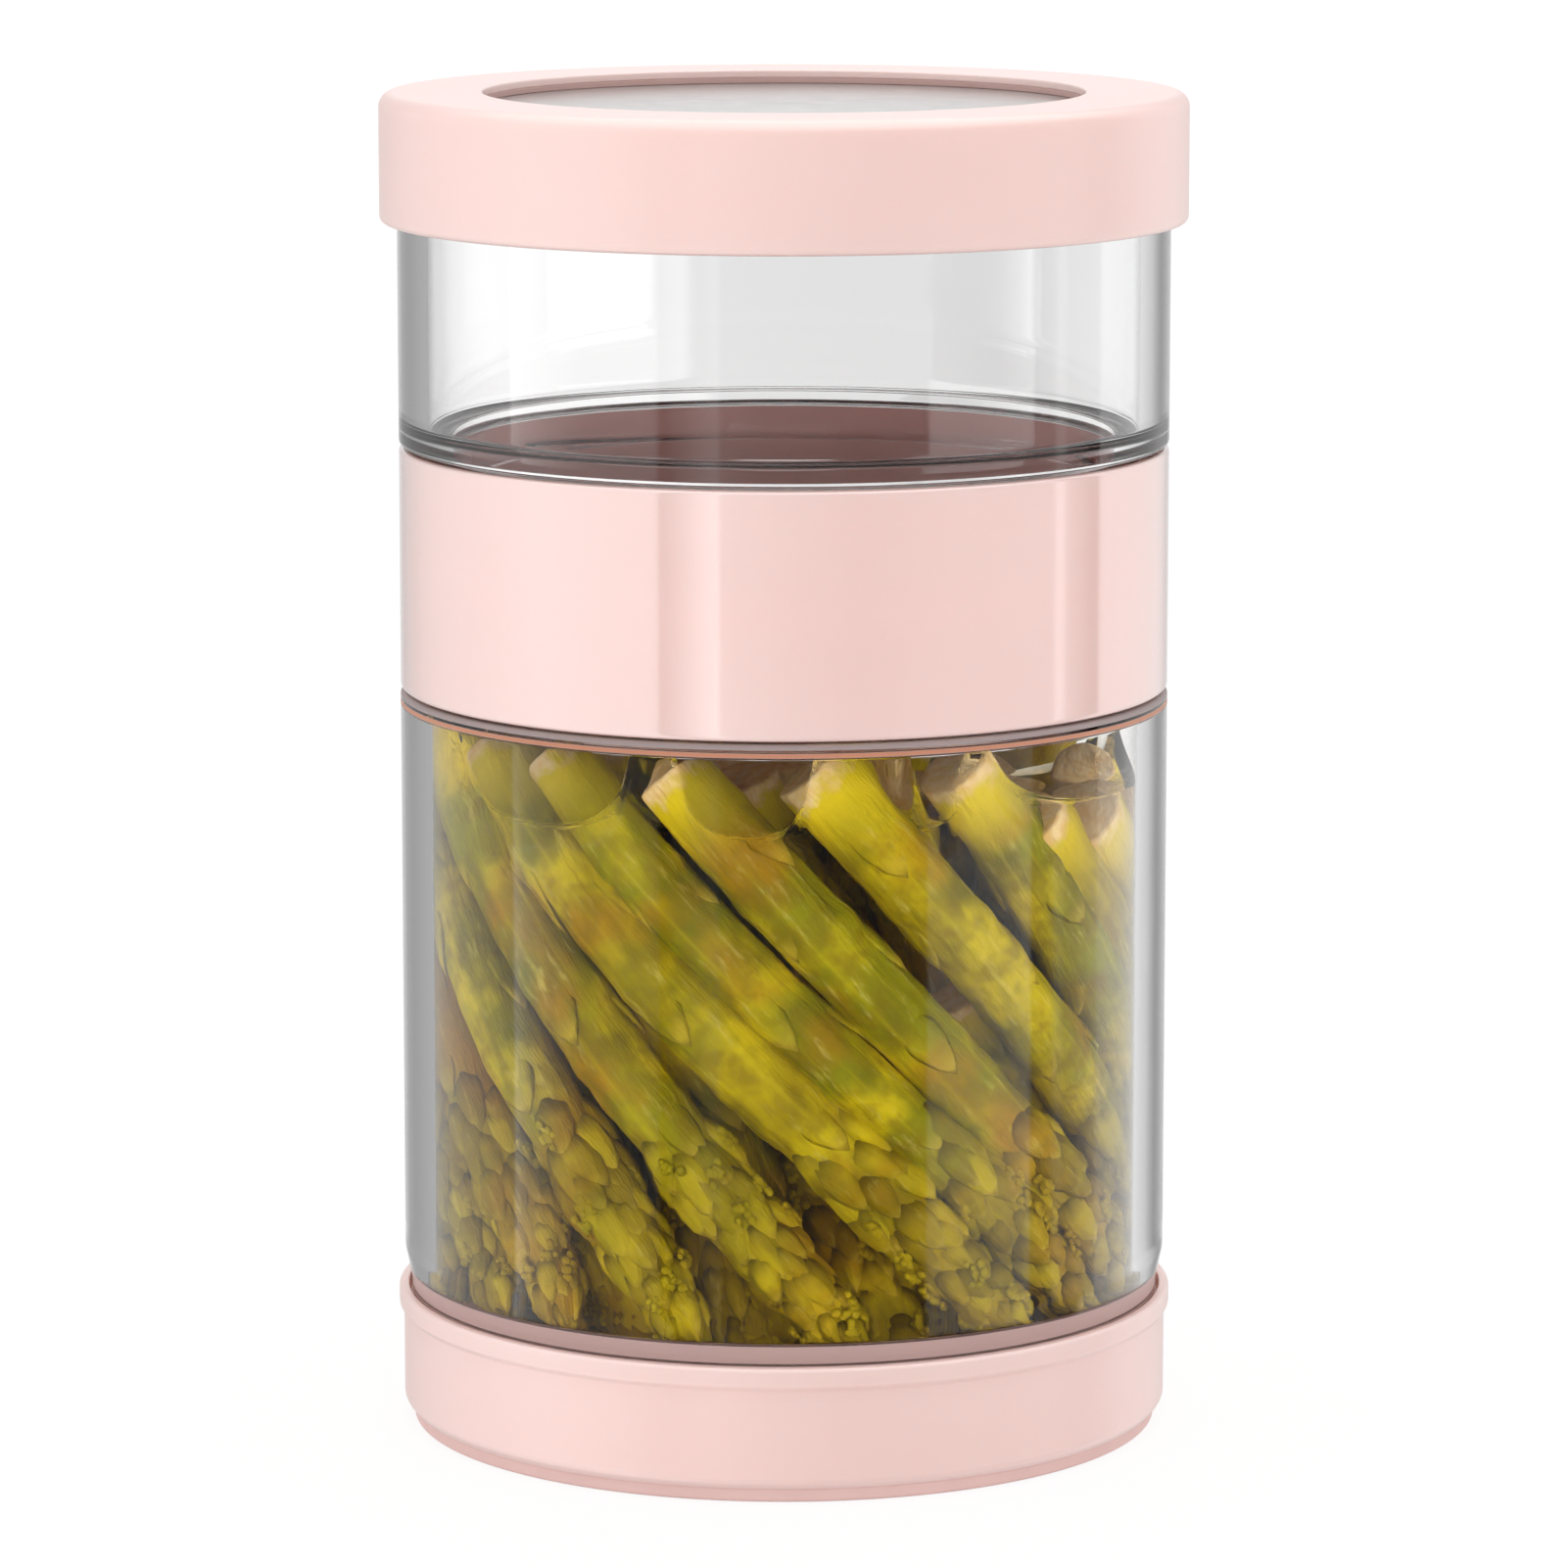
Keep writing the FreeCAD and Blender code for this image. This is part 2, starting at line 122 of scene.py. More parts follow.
def rounded(corners):
    """Outline with rounded corners. Each corner is a radius, a height and a rounding.

    The corner is replaced by an arc that touches both of its edges; the arc's points are its centre plus
    the rounding times a direction that turns evenly from one edge's normal to the other's. A point a
    little way along each edge keeps the face beside the arc flat.
    """
    corners = np.array(corners, float)
    points = []
    count = len(corners)
    for i in range(count):
        corner = corners[i, :2]
        before = corners[i - 1, :2] - corner
        after = corners[(i + 1) % count, :2] - corner
        reach = min(np.linalg.norm(before), np.linalg.norm(after))
        before = before / np.linalg.norm(before)
        after = after / np.linalg.norm(after)
        if corner[0] < SHARP:
            points.append(corner)
            continue
        half = math.acos(np.clip(before @ after, -1, 1)) / 2
        size = max(corners[i, 2], SHARP)
        tangent = min(size / math.tan(half), MOST_OF_EDGE * reach)
        size = tangent * math.tan(half)
        middle = before + after
        centre = corner + middle / np.linalg.norm(middle) * math.hypot(size, tangent)
        start, end = corner + before * tangent, corner + after * tangent
        spread = math.pi - 2 * half
        share = np.linspace(0, 1, ARC_STEPS + 1)[:, None]
        arc = (np.sin((1 - share) * spread) * (start - centre) + np.sin(share * spread) * (end - centre))
        beside = min(KEEP_FLAT, 0.1 * reach)
        points.append(start + before * beside)
        points.extend(centre + arc / math.sin(spread))
        points.append(end + after * beside)
    return np.array(points)


def split_wall(outline, radius, low, high):
    """The outline with extra points on its upright wall at this radius between two heights."""
    pieces = []
    for here, there in zip(outline, np.roll(outline, -1, axis=0)):
        pieces.append(here[None])
        on_wall = max(abs(here[0] - radius), abs(there[0] - radius)) < ON_WALL
        bottom, top = sorted((here[1], there[1]))
        if on_wall and top - bottom > 2 * WALL_STEP and bottom > low - 1 and top < high + 1:
            share = np.linspace(0, 1, int((top - bottom) / WALL_STEP) + 1)[1:-1, None]
            pieces.append(here + share * (there - here))
    return np.concatenate(pieces)


def ridge_height(turn, height, low):
    """How high a thread's ridge stands at each angle and height, as a share of its full depth.

    Each start's centre line climbs by one lead a turn. The share falls from 1 to 0 across a flank on
    each side of it, and the ridge fades in and out over its first and last few degrees.
    """
    best = np.zeros(np.broadcast(turn, height).shape)
    length = RIDGE_TURNS * 2 * math.pi
    for start in range(STARTS):
        along = np.mod(turn - 2 * math.pi * start / STARTS, 2 * math.pi)
        centre = low + RIDGE_WIDTH / 2 + LEAD * along / (2 * math.pi)
        side = np.clip((RIDGE_WIDTH / 2 - abs(height - centre)) / RIDGE_FLANK, 0, 1)
        fade = np.clip(np.minimum(along, length - along) / RIDGE_FADE, 0, 1)
        best = np.maximum(best, side * fade)
    return best


def grid_object(name, points, wrap_rows):
    """A mesh from a grid of points in millimetres. Columns always close on themselves; rows may.

    Neighbouring points in the grid make a quad. Points that coincide, as at a pole, are merged.
    """
    rows, cols = points.shape[:2]
    index = np.arange(rows * cols).reshape(rows, cols)
    below = index if wrap_rows else index[:-1]
    above = np.roll(index, -1, axis=0) if wrap_rows else index[1:]
    quads = np.stack([below, np.roll(below, -1, 1), np.roll(above, -1, 1), above], axis=-1).reshape(-1, 4)
    mesh = bpy.data.meshes.new(name)
    mesh.from_pydata((points.reshape(-1, 3) * MM).tolist(), [], quads.tolist())
    close_up(mesh)
    return in_scene(name, mesh)


def in_scene(name, data):
    """A new object in the scene, at the origin."""
    piece = bpy.data.objects.new(name, data)
    bpy.context.scene.collection.objects.link(piece)
    return piece


def close_up(mesh):
    """Merges points that coincide, turns every face outwards and smooths the shading."""
    work = bmesh.new()
    work.from_mesh(mesh)
    bmesh.ops.remove_doubles(work, verts=work.verts, dist=1e-7)
    bmesh.ops.recalc_face_normals(work, faces=work.faces)
    work.to_mesh(mesh)
    work.free()
    mesh.shade_smooth()


def round_axis(radius, turn, height):
    """Grid points at each angle round +Z, for a radius and a height in each row or at each point."""
    places = np.broadcast_arrays(radius * np.cos(turn), radius * np.sin(turn), height)
    return np.stack(places, axis=-1)


def turned(name, outline, threads):
    """The outline carried round +Z. A thread is the wall's radius, its ridges' low end and their depth.

    At each angle and height on that wall the radius grows by the ridge's share times its depth.
    """
    for wall, low, depth in threads:
        outline = split_wall(outline, wall, low - RIDGE_MARGIN, low + NECK_LENGTH)
    turn = np.linspace(0, 2 * math.pi, SIDES, endpoint=False)[None, :]
    radius, height = outline[:, :1], outline[:, 1:]
    for wall, low, depth in threads:
        on_wall = abs(outline[:, :1] - wall) < ON_WALL
        radius = radius + on_wall * depth * ridge_height(turn, height, low)
    return grid_object(name, round_axis(radius, turn, height), wrap_rows=True)


# ---------------------------------------------------------------- materials

def set_inputs(node, inputs):
    """Sets a node's inputs by name. A name's underscores stand for spaces."""
    for key, value in inputs.items():
        node.inputs[key.replace("_", " ")].default_value = value


def new_material(name, **inputs):
    """A node material, its tree and its Principled shader with the inputs set."""
    material = bpy.data.materials.new(name)
    material.use_nodes = True
    tree = material.node_tree
    shader = tree.nodes["Principled BSDF"]
    set_inputs(shader, inputs)
    return material, tree, shader


def add_node(tree, kind, **inputs):
    """A node with its inputs set."""
    node = tree.nodes.new(kind)
    set_inputs(node, inputs)
    return node


def own_place(tree):
    """Where a point lies on its piece, in metres."""
    return tree.nodes.new("ShaderNodeTexCoord").outputs["Object"]


def noise(tree, scale, detail, roughness=0.5, place=None):
    """Noise on the piece's own coordinates, or on those given."""
    pattern = add_node(tree, "ShaderNodeTexNoise", Scale=scale, Detail=detail, Roughness=roughness)
    tree.links.new(place or own_place(tree), pattern.inputs["Vector"])
    return pattern.outputs["Fac"]


def grain(tree, scale, detail, roughness=0.5):
    """Noise on a spear's own lay: its first part along the spear, the others round it."""
    lay = tree.nodes.new("ShaderNodeAttribute")
    lay.attribute_name = "lay"
    return noise(tree, scale, detail, roughness, lay.outputs["Vector"])


def spread(tree, value, low, high, bottom=0.0, top=1.0):
    """The value stretched from one range to another, and held inside it."""
    node = add_node(tree, "ShaderNodeMapRange", From_Min=low, From_Max=high, To_Min=bottom, To_Max=top)
    tree.links.new(value, node.inputs["Value"])
    return node.outputs["Result"]


def mixed(tree, share, first, second):
    """A colour between two, which may be colours or sockets, by a share that is a socket."""
    node = tree.nodes.new("ShaderNodeMix")
    node.data_type = "RGBA"
    tree.links.new(share, node.inputs["Factor"])
    for socket, colour in ((node.inputs[6], first), (node.inputs[7], second)):
        if isinstance(colour, tuple):
            socket.default_value = (*colour, 1.0)
        else:
            tree.links.new(colour, socket)
    return node.outputs[2]


def layered(tree, colour, layers):
    """The colour under layers. Each has a socket, the values where it starts and is full, how far it then
    covers, and its colour."""
    for value, start, full, cover, tint in layers:
        colour = mixed(tree, spread(tree, value, start, full, 0, cover), colour, tint)
    return colour


def bumped(tree, shader, height, strength, distance):
    """Gives the shader a bump from a height socket."""
    bump = add_node(tree, "ShaderNodeBump", Strength=strength, Distance=distance)
    tree.links.new(height, bump.inputs["Height"])
    tree.links.new(bump.outputs["Normal"], shader.inputs["Normal"])


CLEAR = (0.96, 0.96, 0.96)
CLEAR_IOR = 1.49
SATIN_SHARE = 0.5  # how rough, and how far from clear, the satin ends of a chamber are


def clear_plastic(name, shine, ends=()):
    """Polished clear plastic, faintly wavy from its mould. Its shine is the share of reflection it keeps.

    Each of the ends is a band between two heights, in millimetres, where the moulding is satin and is
    painted
    with the colour given: a painted look of what lies behind the wall, a painted reflection or painted
    shade.
    """
    material, tree, shader = new_material(name, Base_Color=(*CLEAR, 1), Roughness=0.0, IOR=CLEAR_IOR,
                                          Transmission_Weight=1.0, Specular_Tint=(shine, shine, shine, 1))
    bumped(tree, shader, noise(tree, 60, 2), 0.02, 0.0006)
    if ends:
        axes = tree.nodes.new("ShaderNodeSeparateXYZ")
        tree.links.new(own_place(tree), axes.inputs[0])
        height = maths(tree, "DIVIDE", axes.outputs["Z"], MM)
        colour, satin = CLEAR, 0.0
        for low, high, tint in ends:
            inside = maths(tree, "MULTIPLY", spread(tree, height, low - 0.1, low),
                           spread(tree, height, high, high - 0.1))
            colour = mixed(tree, inside, colour, tint)
            satin = maths(tree, "MAXIMUM", satin, inside)
        rough = maths(tree, "MULTIPLY", satin, SATIN_SHARE)
        tree.links.new(colour, shader.inputs["Base Color"])
        tree.links.new(rough, shader.inputs["Roughness"])
        tree.links.new(maths(tree, "SUBTRACT", 1.0, rough), shader.inputs["Transmission Weight"])
    return material


def maths(tree, operation, first, second=None):
    """One arithmetic step on sockets or numbers."""
    node = tree.nodes.new("ShaderNodeMath")
    node.operation = operation
    for socket, value in zip(node.inputs, (first, second)):
        if value is None:
            continue
        if isinstance(value, (int, float)):
            socket.default_value = value
        else:
            tree.links.new(value, socket)
    return node.outputs[0]


def window_plastic():
    """Smoky translucent plastic for the lid's window."""
    material, tree, shader = new_material("window_plastic", IOR=CLEAR_IOR, Transmission_Weight=0.65)
    haze = mixed(tree, spread(tree, noise(tree, 35, 3), 0.3, 0.7), (0.76, 0.75, 0.74), (0.8, 0.79, 0.78))
    tree.links.new(haze, shader.inputs["Base Color"])
    tree.links.new(spread(tree, noise(tree, 300, 2), 0.3, 0.7, 0.16, 0.2), shader.inputs["Roughness"])
    return material


def blush_plastic(name, roughness, coat, coat_roughness, deep_within=0.0):
    """Blush pink plastic: a soft body colour under a glossier skin, with faint clouding and grain.

    Nearer to the axis than the last argument, a radius in millimetres, the blush is darker: painted shade
    for the hollow inside of the collar and what sits in it.
    """
    material, tree, shader = new_material(
        name, IOR=1.55, Coat_Weight=coat, Coat_Roughness=coat_roughness, Coat_IOR=1.85,
        Subsurface_Weight=0.25, Subsurface_Radius=(1.0, 0.5, 0.4), Subsurface_Scale=0.006)
    cloud = spread(tree, noise(tree, 45, 4), 0.3, 0.7)
    colour = mixed(tree, cloud, (0.955, 0.635, 0.59), (0.97, 0.655, 0.61))
    if deep_within:
        flat = tree.nodes.new("ShaderNodeVectorMath")
        flat.operation = "MULTIPLY"
        flat.inputs[1].default_value = (1 / MM, 1 / MM, 0)
        tree.links.new(own_place(tree), flat.inputs[0])
        from_axis = tree.nodes.new("ShaderNodeVectorMath")
        from_axis.operation = "LENGTH"
        tree.links.new(flat.outputs["Vector"], from_axis.inputs[0])
        outside = spread(tree, from_axis.outputs["Value"], deep_within, deep_within + 0.2)
        # Painted shade: faces nearer the axis than the given radius get a darker blush.
        deep = mixed(tree, cloud, (0.6, 0.335, 0.305), (0.64, 0.365, 0.33))
        colour = mixed(tree, outside, deep, colour)
    tree.links.new(colour, shader.inputs["Base Color"])
    rough = spread(tree, noise(tree, 400, 3), 0.3, 0.7, roughness - 0.03, roughness + 0.03)
    tree.links.new(rough, shader.inputs["Roughness"])
    bumped(tree, shader, noise(tree, 2500, 2), 0.03, 0.0001)
    return material


def silicone(name, light, dark):
    """Matt silicone with a slightly mottled colour and a fine matt grain."""
    material, tree, shader = new_material(name, IOR=1.41)
    mottled = mixed(tree, spread(tree, noise(tree, 120, 3), 0.3, 0.7), light, dark)
    tree.links.new(mottled, shader.inputs["Base Color"])
    tree.links.new(spread(tree, noise(tree, 900, 2), 0.2, 0.8, 0.5, 0.62), shader.inputs["Roughness"])
    bumped(tree, shader, noise(tree, 3500, 2), 0.15, 0.0001)
    return material


def brine_liquid():
    """Thin yellow-green brine: clear, bending light a little, and tinted by depth.

    It bends light less than water does, so that more of it comes back out through the wall.
    """
    material, tree, _ = new_material("brine", Base_Color=(1, 1, 1, 1), Roughness=0.0, IOR=1.18,
                                     Transmission_Weight=1.0)
    depth = add_node(tree, "ShaderNodeVolumeAbsorption", Color=(0.85, 0.7, 0.3, 1), Density=35.0)
    tree.links.new(depth.outputs["Volume"], tree.nodes["Material Output"].inputs["Volume"])
    return material


def asparagus_skin():
    """Pickled asparagus: greens and browns laid one over another, each where a noise or a place says.

    The piece's own tint attribute carries, in its four parts, the share of the way from the cut end to the
    tip, the share of the way along a scale leaf, the spear's own value, lower for spears that stand deeper
    as painted shade and otherwise its own tone, and the stalk's fibres or each leaf's own tone. Near its
    root a head leaf is painted darker, as painted shade.
    """
    material, tree, shader = new_material("pickled_asparagus", Roughness=0.4, Specular_IOR_Level=0.1)
    tint = tree.nodes.new("ShaderNodeAttribute")
    tint.attribute_name = "tint"
    parts = tree.nodes.new("ShaderNodeSeparateColor")
    tree.links.new(tint.outputs["Color"], parts.inputs["Color"])
    along, leaf, own = parts.outputs["Red"], parts.outputs["Green"], parts.outputs["Blue"]
    shade = tint.outputs["Alpha"]
    deep_green = (0.05, 0.03, 0.001)
    # The stalk's base colour runs with the spear's own value: its random part is the spear's own tone, and
    # the low values given to spears deeper in are painted shade; the darkest green is that painted shade.
    stalk = layered(tree, deep_green, [
        (own, 0.0, 0.45, 1, (0.3, 0.21, 0.001)),
        (own, 0.45, 0.9, 1, (0.5, 0.375, 0.001)),
        (grain(tree, 31, 0), 0.42, 0.6, 0.85, (0.27, 0.27, 0.001)),
        (noise(tree, 70, 5), 0.46, 0.6, 1, (0.68, 0.53, 0.003)),  # ripe
        (noise(tree, 85, 6), 0.5, 0.64, 0.85, (0.16, 0.155, 0.001)),  # mossy
        (noise(tree, 52, 5), 0.53, 0.64, 0.8, (0.46, 0.22, 0.001)),  # stained
        (noise(tree, 240, 5, 0.6), 0.46, 0.64, 0.6, (0.24, 0.155, 0.001)),
        (grain(tree, 420, 5, 0.6), 0.5, 0.7, 0.6, (0.2, 0.16, 0.001)),
        (shade, -0.1, -1, 0.8, (0.14, 0.1, 0.001)),
        (shade, 0.1, 1, 0.8, (0.72, 0.58, 0.006)),
        (grain(tree, 900, 5, 0.7), 0.57, 0.68, 0.35, (0.85, 0.7, 0.16)),  # pale flecks
        (along, 0.58, 0.75, 0.3, (0.4, 0.24, 0.002)),  # brown head
    ])
    # Painted shade: a head leaf is darker near its root, where it tucks under the leaf above.
    leaf_root = layered(tree, stalk, [(leaf, 0.4, 0.05, 0.85, (0.07, 0.04, 0.001))])
    fibres = mixed(tree, spread(tree, noise(tree, 600, 4), 0.4, 0.62), (1.0, 0.74, 0.36), (0.9, 0.58, 0.2))
    ragged = maths(tree, "ADD", along, spread(tree, noise(tree, 380, 3), 0.3, 0.7, -0.014, 0.014))
    skin = layered(tree, stalk, [
        (leaf, 0.0, 0.02, 1, leaf_root),
        (leaf, 0.75, 1.0, 0.7, (0.75, 0.55, 0.05)),  # leaf tips
        (along, 0.13, 0.04, 1, (0.8, 0.6, 0.008)),  # pale by the cut
        (ragged, 0.03, 0.01, 1, fibres),  # the cut itself
    ])
    tree.links.new(skin, shader.inputs["Base Color"])
    bumped(tree, shader, grain(tree, 450, 6, 0.65), 0.9, 0.0012)
    return material


# ---------------------------------------------------------------- the keeper's own pieces

def collar_outline():
    """The collar's section: two sockets and, between them, the ledge with its lip."""
    ledge_low = LOWER_NECK_HIGH + GASKET
    ledge_high = UPPER_NECK_LOW - GASKET
    lip_high = ledge_low + 2.0
    lip_bore = 39.5
    return rounded([
        (SOCKET_BORE, COLLAR_BOTTOM, 0.3),
        (BODY_RADIUS, COLLAR_BOTTOM, 0.7),
        (BODY_RADIUS, COLLAR_TOP, 0.7),
        (SOCKET_BORE, COLLAR_TOP, 0.3),
        (SOCKET_BORE, ledge_high, 0.3),
        (NECK_BORE, ledge_high, 0.3),
        (NECK_BORE, lip_high, 0.2),
        (lip_bore, lip_high, 0.4),
        (lip_bore, ledge_low, 0.4),
        (SOCKET_BORE, ledge_low, 0.3),
    ])


def cap_outline():
    """The base cap's section, with its groove for the foot ring and its beaded rim."""
    foot_radius = radius_of("foot_ring")
    groove_bore = foot_radius - FOOT_WIDTH
    groove_top = heights("foot_ring")[1]
    cap_radius = 49.2
    bead_radius = radius_of("base_cap")
    bead_low = CAP_RIM - 2.4
    rim_bore = 48.5
    land = LOWER_BOTTOM - SEAM
    return rounded([
        (0, CAP_BOTTOM, 0),
        (groove_bore, CAP_BOTTOM, 0.2),
        (groove_bore, groove_top, 0.2),
        (foot_radius, groove_top, 0.2),
        (foot_radius, CAP_BOTTOM, 0),
        (cap_radius, CAP_BOTTOM + cap_radius - foot_radius, 1.3),
        (cap_radius, bead_low - 0.6, 0.5),
        (bead_radius, bead_low, 0.5),
        (bead_radius, CAP_RIM, 1.0),
        (rim_bore, CAP_RIM, 0.2),
        (rim_bore, land, 0.3),
        (SOCKET_BORE, land, 0.3),
        (SOCKET_BORE, CAP_FLOOR, 0.8),
        (0, CAP_FLOOR, 0),
    ])


def lid_outline():
    """The lid's section: deep ring, window pocket, locating rib and skirt."""
    pocket = WINDOW_HIGH + 0.75
    rib_bore = radius_of("lid_window") + 0.2
    rib_radius = rib_bore + 1.2
    rib_low = LID_UNDERSIDE - 1.5
    skirt_bore = BODY_RADIUS + SEAM
    return rounded([
        (skirt_bore, LID_BOTTOM, 0.4),
        (radius_of("lid_shell"), LID_BOTTOM, 1.4),
        (radius_of("lid_shell"), LID_TOP, 1.8),
        (LID_OPENING, LID_TOP, 0.2),
        (LID_OPENING, pocket, 0.15),
        (rib_bore, pocket, 0.15),
        (rib_bore, rib_low, 0.3),
        (rib_radius, rib_low, 0.3),
        (rib_radius, LID_UNDERSIDE, 0.3),
        (LID_BORE, LID_UNDERSIDE, 0.3),
        (LID_BORE, UPPER_TOP + SEAM, 0.3),
        (skirt_bore, UPPER_TOP + SEAM, 0.3),
    ])


def lower_chamber_outline():
    """The tall chamber's section: straight wall, two shoulders, two necks and a tucked-in bottom edge."""
    return rounded([
        (NECK_BORE, LOWER_NECK_LOW, 0.5),
        (NECK_RADIUS, LOWER_NECK_LOW, 0.5),
        (NECK_RADIUS, LOWER_BOTTOM, 0.4),
        (BODY_RADIUS - TUCK, LOWER_BOTTOM, 0.7),
        (BODY_RADIUS - TUCK, LOWER_BOTTOM + TUCK_STRAIGHT, 3.0),
        (BODY_RADIUS, LOWER_BOTTOM + TUCK_TOP, 4.0),
        (BODY_RADIUS, LOWER_TOP, 0.7),
        (NECK_RADIUS, LOWER_TOP, 0.4),
        (NECK_RADIUS, LOWER_NECK_HIGH, 0.5),
        (NECK_BORE, LOWER_NECK_HIGH, 0.5),
        (NECK_BORE, LOWER_TOP - SHOULDER, 0.5),
        (BODY_BORE, LOWER_TOP - SHOULDER, 0.4),
        (BODY_BORE, LOWER_BOTTOM + FLOOR_SHOULDER, 0.5),
        (NECK_BORE, LOWER_BOTTOM + FLOOR_SHOULDER, 0.6),
    ])


def upper_chamber_outline():
    """The short chamber's section: a neck and shoulder below and a wide threaded mouth above."""
    return rounded([
        (NECK_BORE, UPPER_NECK_LOW, 0.5),
        (NECK_RADIUS, UPPER_NECK_LOW, 0.5),
        (NECK_RADIUS, UPPER_BOTTOM, 0.4),
        (BODY_RADIUS, UPPER_BOTTOM, 0.7),
        (BODY_RADIUS, UPPER_TOP, 0.7),
        (MOUTH_RADIUS, UPPER_TOP, 0.4),
        (MOUTH_RADIUS, MOUTH_END, 0.6),
        (MOUTH_BORE, MOUTH_END, 0.6),
        (MOUTH_BORE, UPPER_TOP, 0.8),
        (BODY_BORE, UPPER_TOP - SHOULDER, 0.8),
        (BODY_BORE, UPPER_BOTTOM + SHOULDER, 1.5),
        (NECK_BORE, UPPER_BOTTOM + SHOULDER, 0.4),
    ])


def disc_outline(radius, low, high, rounding):
    """The section of a plain round disc."""
    return rounded([(0, low, 0), (radius, low, rounding), (radius, high, rounding), (0, high, 0)])


def ring_outline(bore, radius, low, high, rounding):
    """The section of a flat ring."""
    return rounded([(bore, low, rounding), (radius, low, rounding),
                    (radius, high, rounding), (bore, high, rounding)])


def on_neck(radius, low):
    """A neck's thread, counted from the neck's low end."""
    return radius, low + RIDGE_MARGIN, RIDGE_DEPTH


def in_socket(bore, low):
    """A socket's thread. Its ridges stand inwards, between those of the neck with this low end."""
    return bore, low + RIDGE_MARGIN + BETWEEN_RIDGES, -RIDGE_DEPTH


def make_piece(name, outline, threads, body, material, node):
    """A turned piece with its material and body, which stands for a CAD node."""
    piece = turned(name, outline, threads)
    piece.data.materials.append(material)
    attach(piece, body)
    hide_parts(node)


def finish_node(node, material):
    """Gives a CAD node that is shown as it is a finished material."""
    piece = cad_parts[node]
    piece.data.materials.clear()
    piece.data.materials.append(material)


def build_keeper():
    """Every piece of the keeper, from the foot to the lid."""
    clear = clear_plastic("clear_plastic", 1.0)
    # Colours painted on the tall chamber's satin ends: pink that stands in for the base cap seen through the
    # wall at its foot, a painted orange reflection of the contents under the shoulder, and painted shade
    # where the wall meets the collar.
    blush_behind, seam_behind, shade_behind = (0.95, 0.68, 0.64), (1.0, 0.46, 0.3), (0.62, 0.52, 0.52)
    satin_ends = clear_plastic("clear_plastic_painted_ends", 0.25, [
        (LOWER_NECK_LOW - 1, LOWER_BOTTOM + 1.2, blush_behind),
        (LOWER_BOTTOM + 1.45, LOWER_BOTTOM + FLOOR_SHOULDER + 0.3, blush_behind),
        (LOWER_TOP - 1.6, LOWER_TOP - 1.0, seam_behind),
        (LOWER_TOP - 0.6, LOWER_TOP + 0.3, shade_behind)])
    satin = blush_plastic("blush_satin", 0.38, 0.9, 0.36)
    # Gloss blush whose inner faces are painted darker, as painted shade; the strainer, which sits within
    # them, takes it all over.
    lined_gloss = blush_plastic("blush_gloss_shaded_inside", 0.12, 1.0, 0.05, BODY_RADIUS - 1)
    soft_white = silicone("white_silicone", (0.8, 0.76, 0.74), (0.74, 0.7, 0.68))
    soft_blush = silicone("blush_silicone", (0.8, 0.55, 0.52), (0.84, 0.59, 0.55))
    # Darker blush for the window seal: painted shade for the lid's recess round the window.
    deep_blush = silicone("blush_silicone_painted_shade", (0.56, 0.36, 0.33), (0.6, 0.39, 0.36))

    make_piece("base_cap_gloss", cap_outline(), [in_socket(SOCKET_BORE, LOWER_NECK_LOW)],
               "base", satin, "base_cap")
    make_piece("collar_gloss", collar_outline(),
               [in_socket(SOCKET_BORE, LOWER_TOP), in_socket(SOCKET_BORE, UPPER_NECK_LOW)],
               "collar", lined_gloss, "collar")
    make_piece("lid_shell_satin", lid_outline(), [in_socket(LID_BORE, UPPER_TOP)],
               "lid", satin, "lid_shell")
    make_piece("lower_chamber_clear", lower_chamber_outline(),
               [on_neck(NECK_RADIUS, LOWER_NECK_LOW), on_neck(NECK_RADIUS, LOWER_TOP)],
               "lower_jar", satin_ends, "lower_chamber")
    make_piece("upper_chamber_clear", upper_chamber_outline(),
               [on_neck(NECK_RADIUS, UPPER_NECK_LOW), on_neck(MOUTH_RADIUS, UPPER_TOP)],
               "upper_jar", clear, "upper_chamber")
    make_piece("lid_window_clear", disc_outline(radius_of("lid_window"), WINDOW_LOW, WINDOW_HIGH, 0.2), [],
               "lid", window_plastic(), "lid_window")
    seal_ring = ring_outline(LID_OPENING, radius_of("window_seal"), *heights("window_seal"), 0.15)
    make_piece("window_seal_ring", seal_ring, [], "lid", deep_blush, "window_seal")
    foot_radius = radius_of("foot_ring")
    foot = ring_outline(foot_radius - FOOT_WIDTH, foot_radius, *heights("foot_ring"), 0.4)
    make_piece("foot_ring_soft", foot, [], "base", soft_blush, "foot_ring")
    for node in ("base_gasket", "lower_collar_gasket", "upper_collar_gasket", "lid_gasket"):
        finish_node(node, soft_white)
    # Painted shade: the strainer lies within the darker radius, so it is painted darker all over.
    finish_node("strainer", lined_gloss)


# ---------------------------------------------------------------- asparagus

STATIONS = 15  # points along a spear's centre line while the bundle settles
SETTLING_ROUNDS = 140
HEAD_PLAY = 1.0  # room for the scale leaves between a head and the wall
GOLDEN = math.radians(137.5)  # the angle from each leaf to the next
ANY_ANGLE = 6.28  # radians
SHADE_AT_DEPTH = (0.85, 0.4, 0.12)  # a spear's value by the wall, behind those and in the middle: lower deeper in, as painted shade
LAY_STRETCH = 0.2  # the share of a spear's length that its grain counts, which draws the grain out
LAY_APART = 37  # millimetres of grain between one spear and the next
BRINE_GAP = 0.15  # between the brine and what holds it
BRINE_RADIUS = BODY_BORE - BRINE_GAP
BRINE_FLOOR = LOWER_BOTTOM + FLOOR_SHOULDER + BRINE_GAP  # where it widens from the lower neck
BRINE_LEVEL = 84.0
# Air pockets by the wall over the brine: the middle and half width, in degrees from the front towards +X,
# and the height of the brine there
POCKETS = [(-41.5, 17.5, 83.3), (-6, 10.5, 83.3), (24.5, 4, 84.5), (68, 34, 84.8), (120, 16, 84.0),
           (160, 20, 83.5), (202, 18, 84.0), (252, 24, 83.5)]
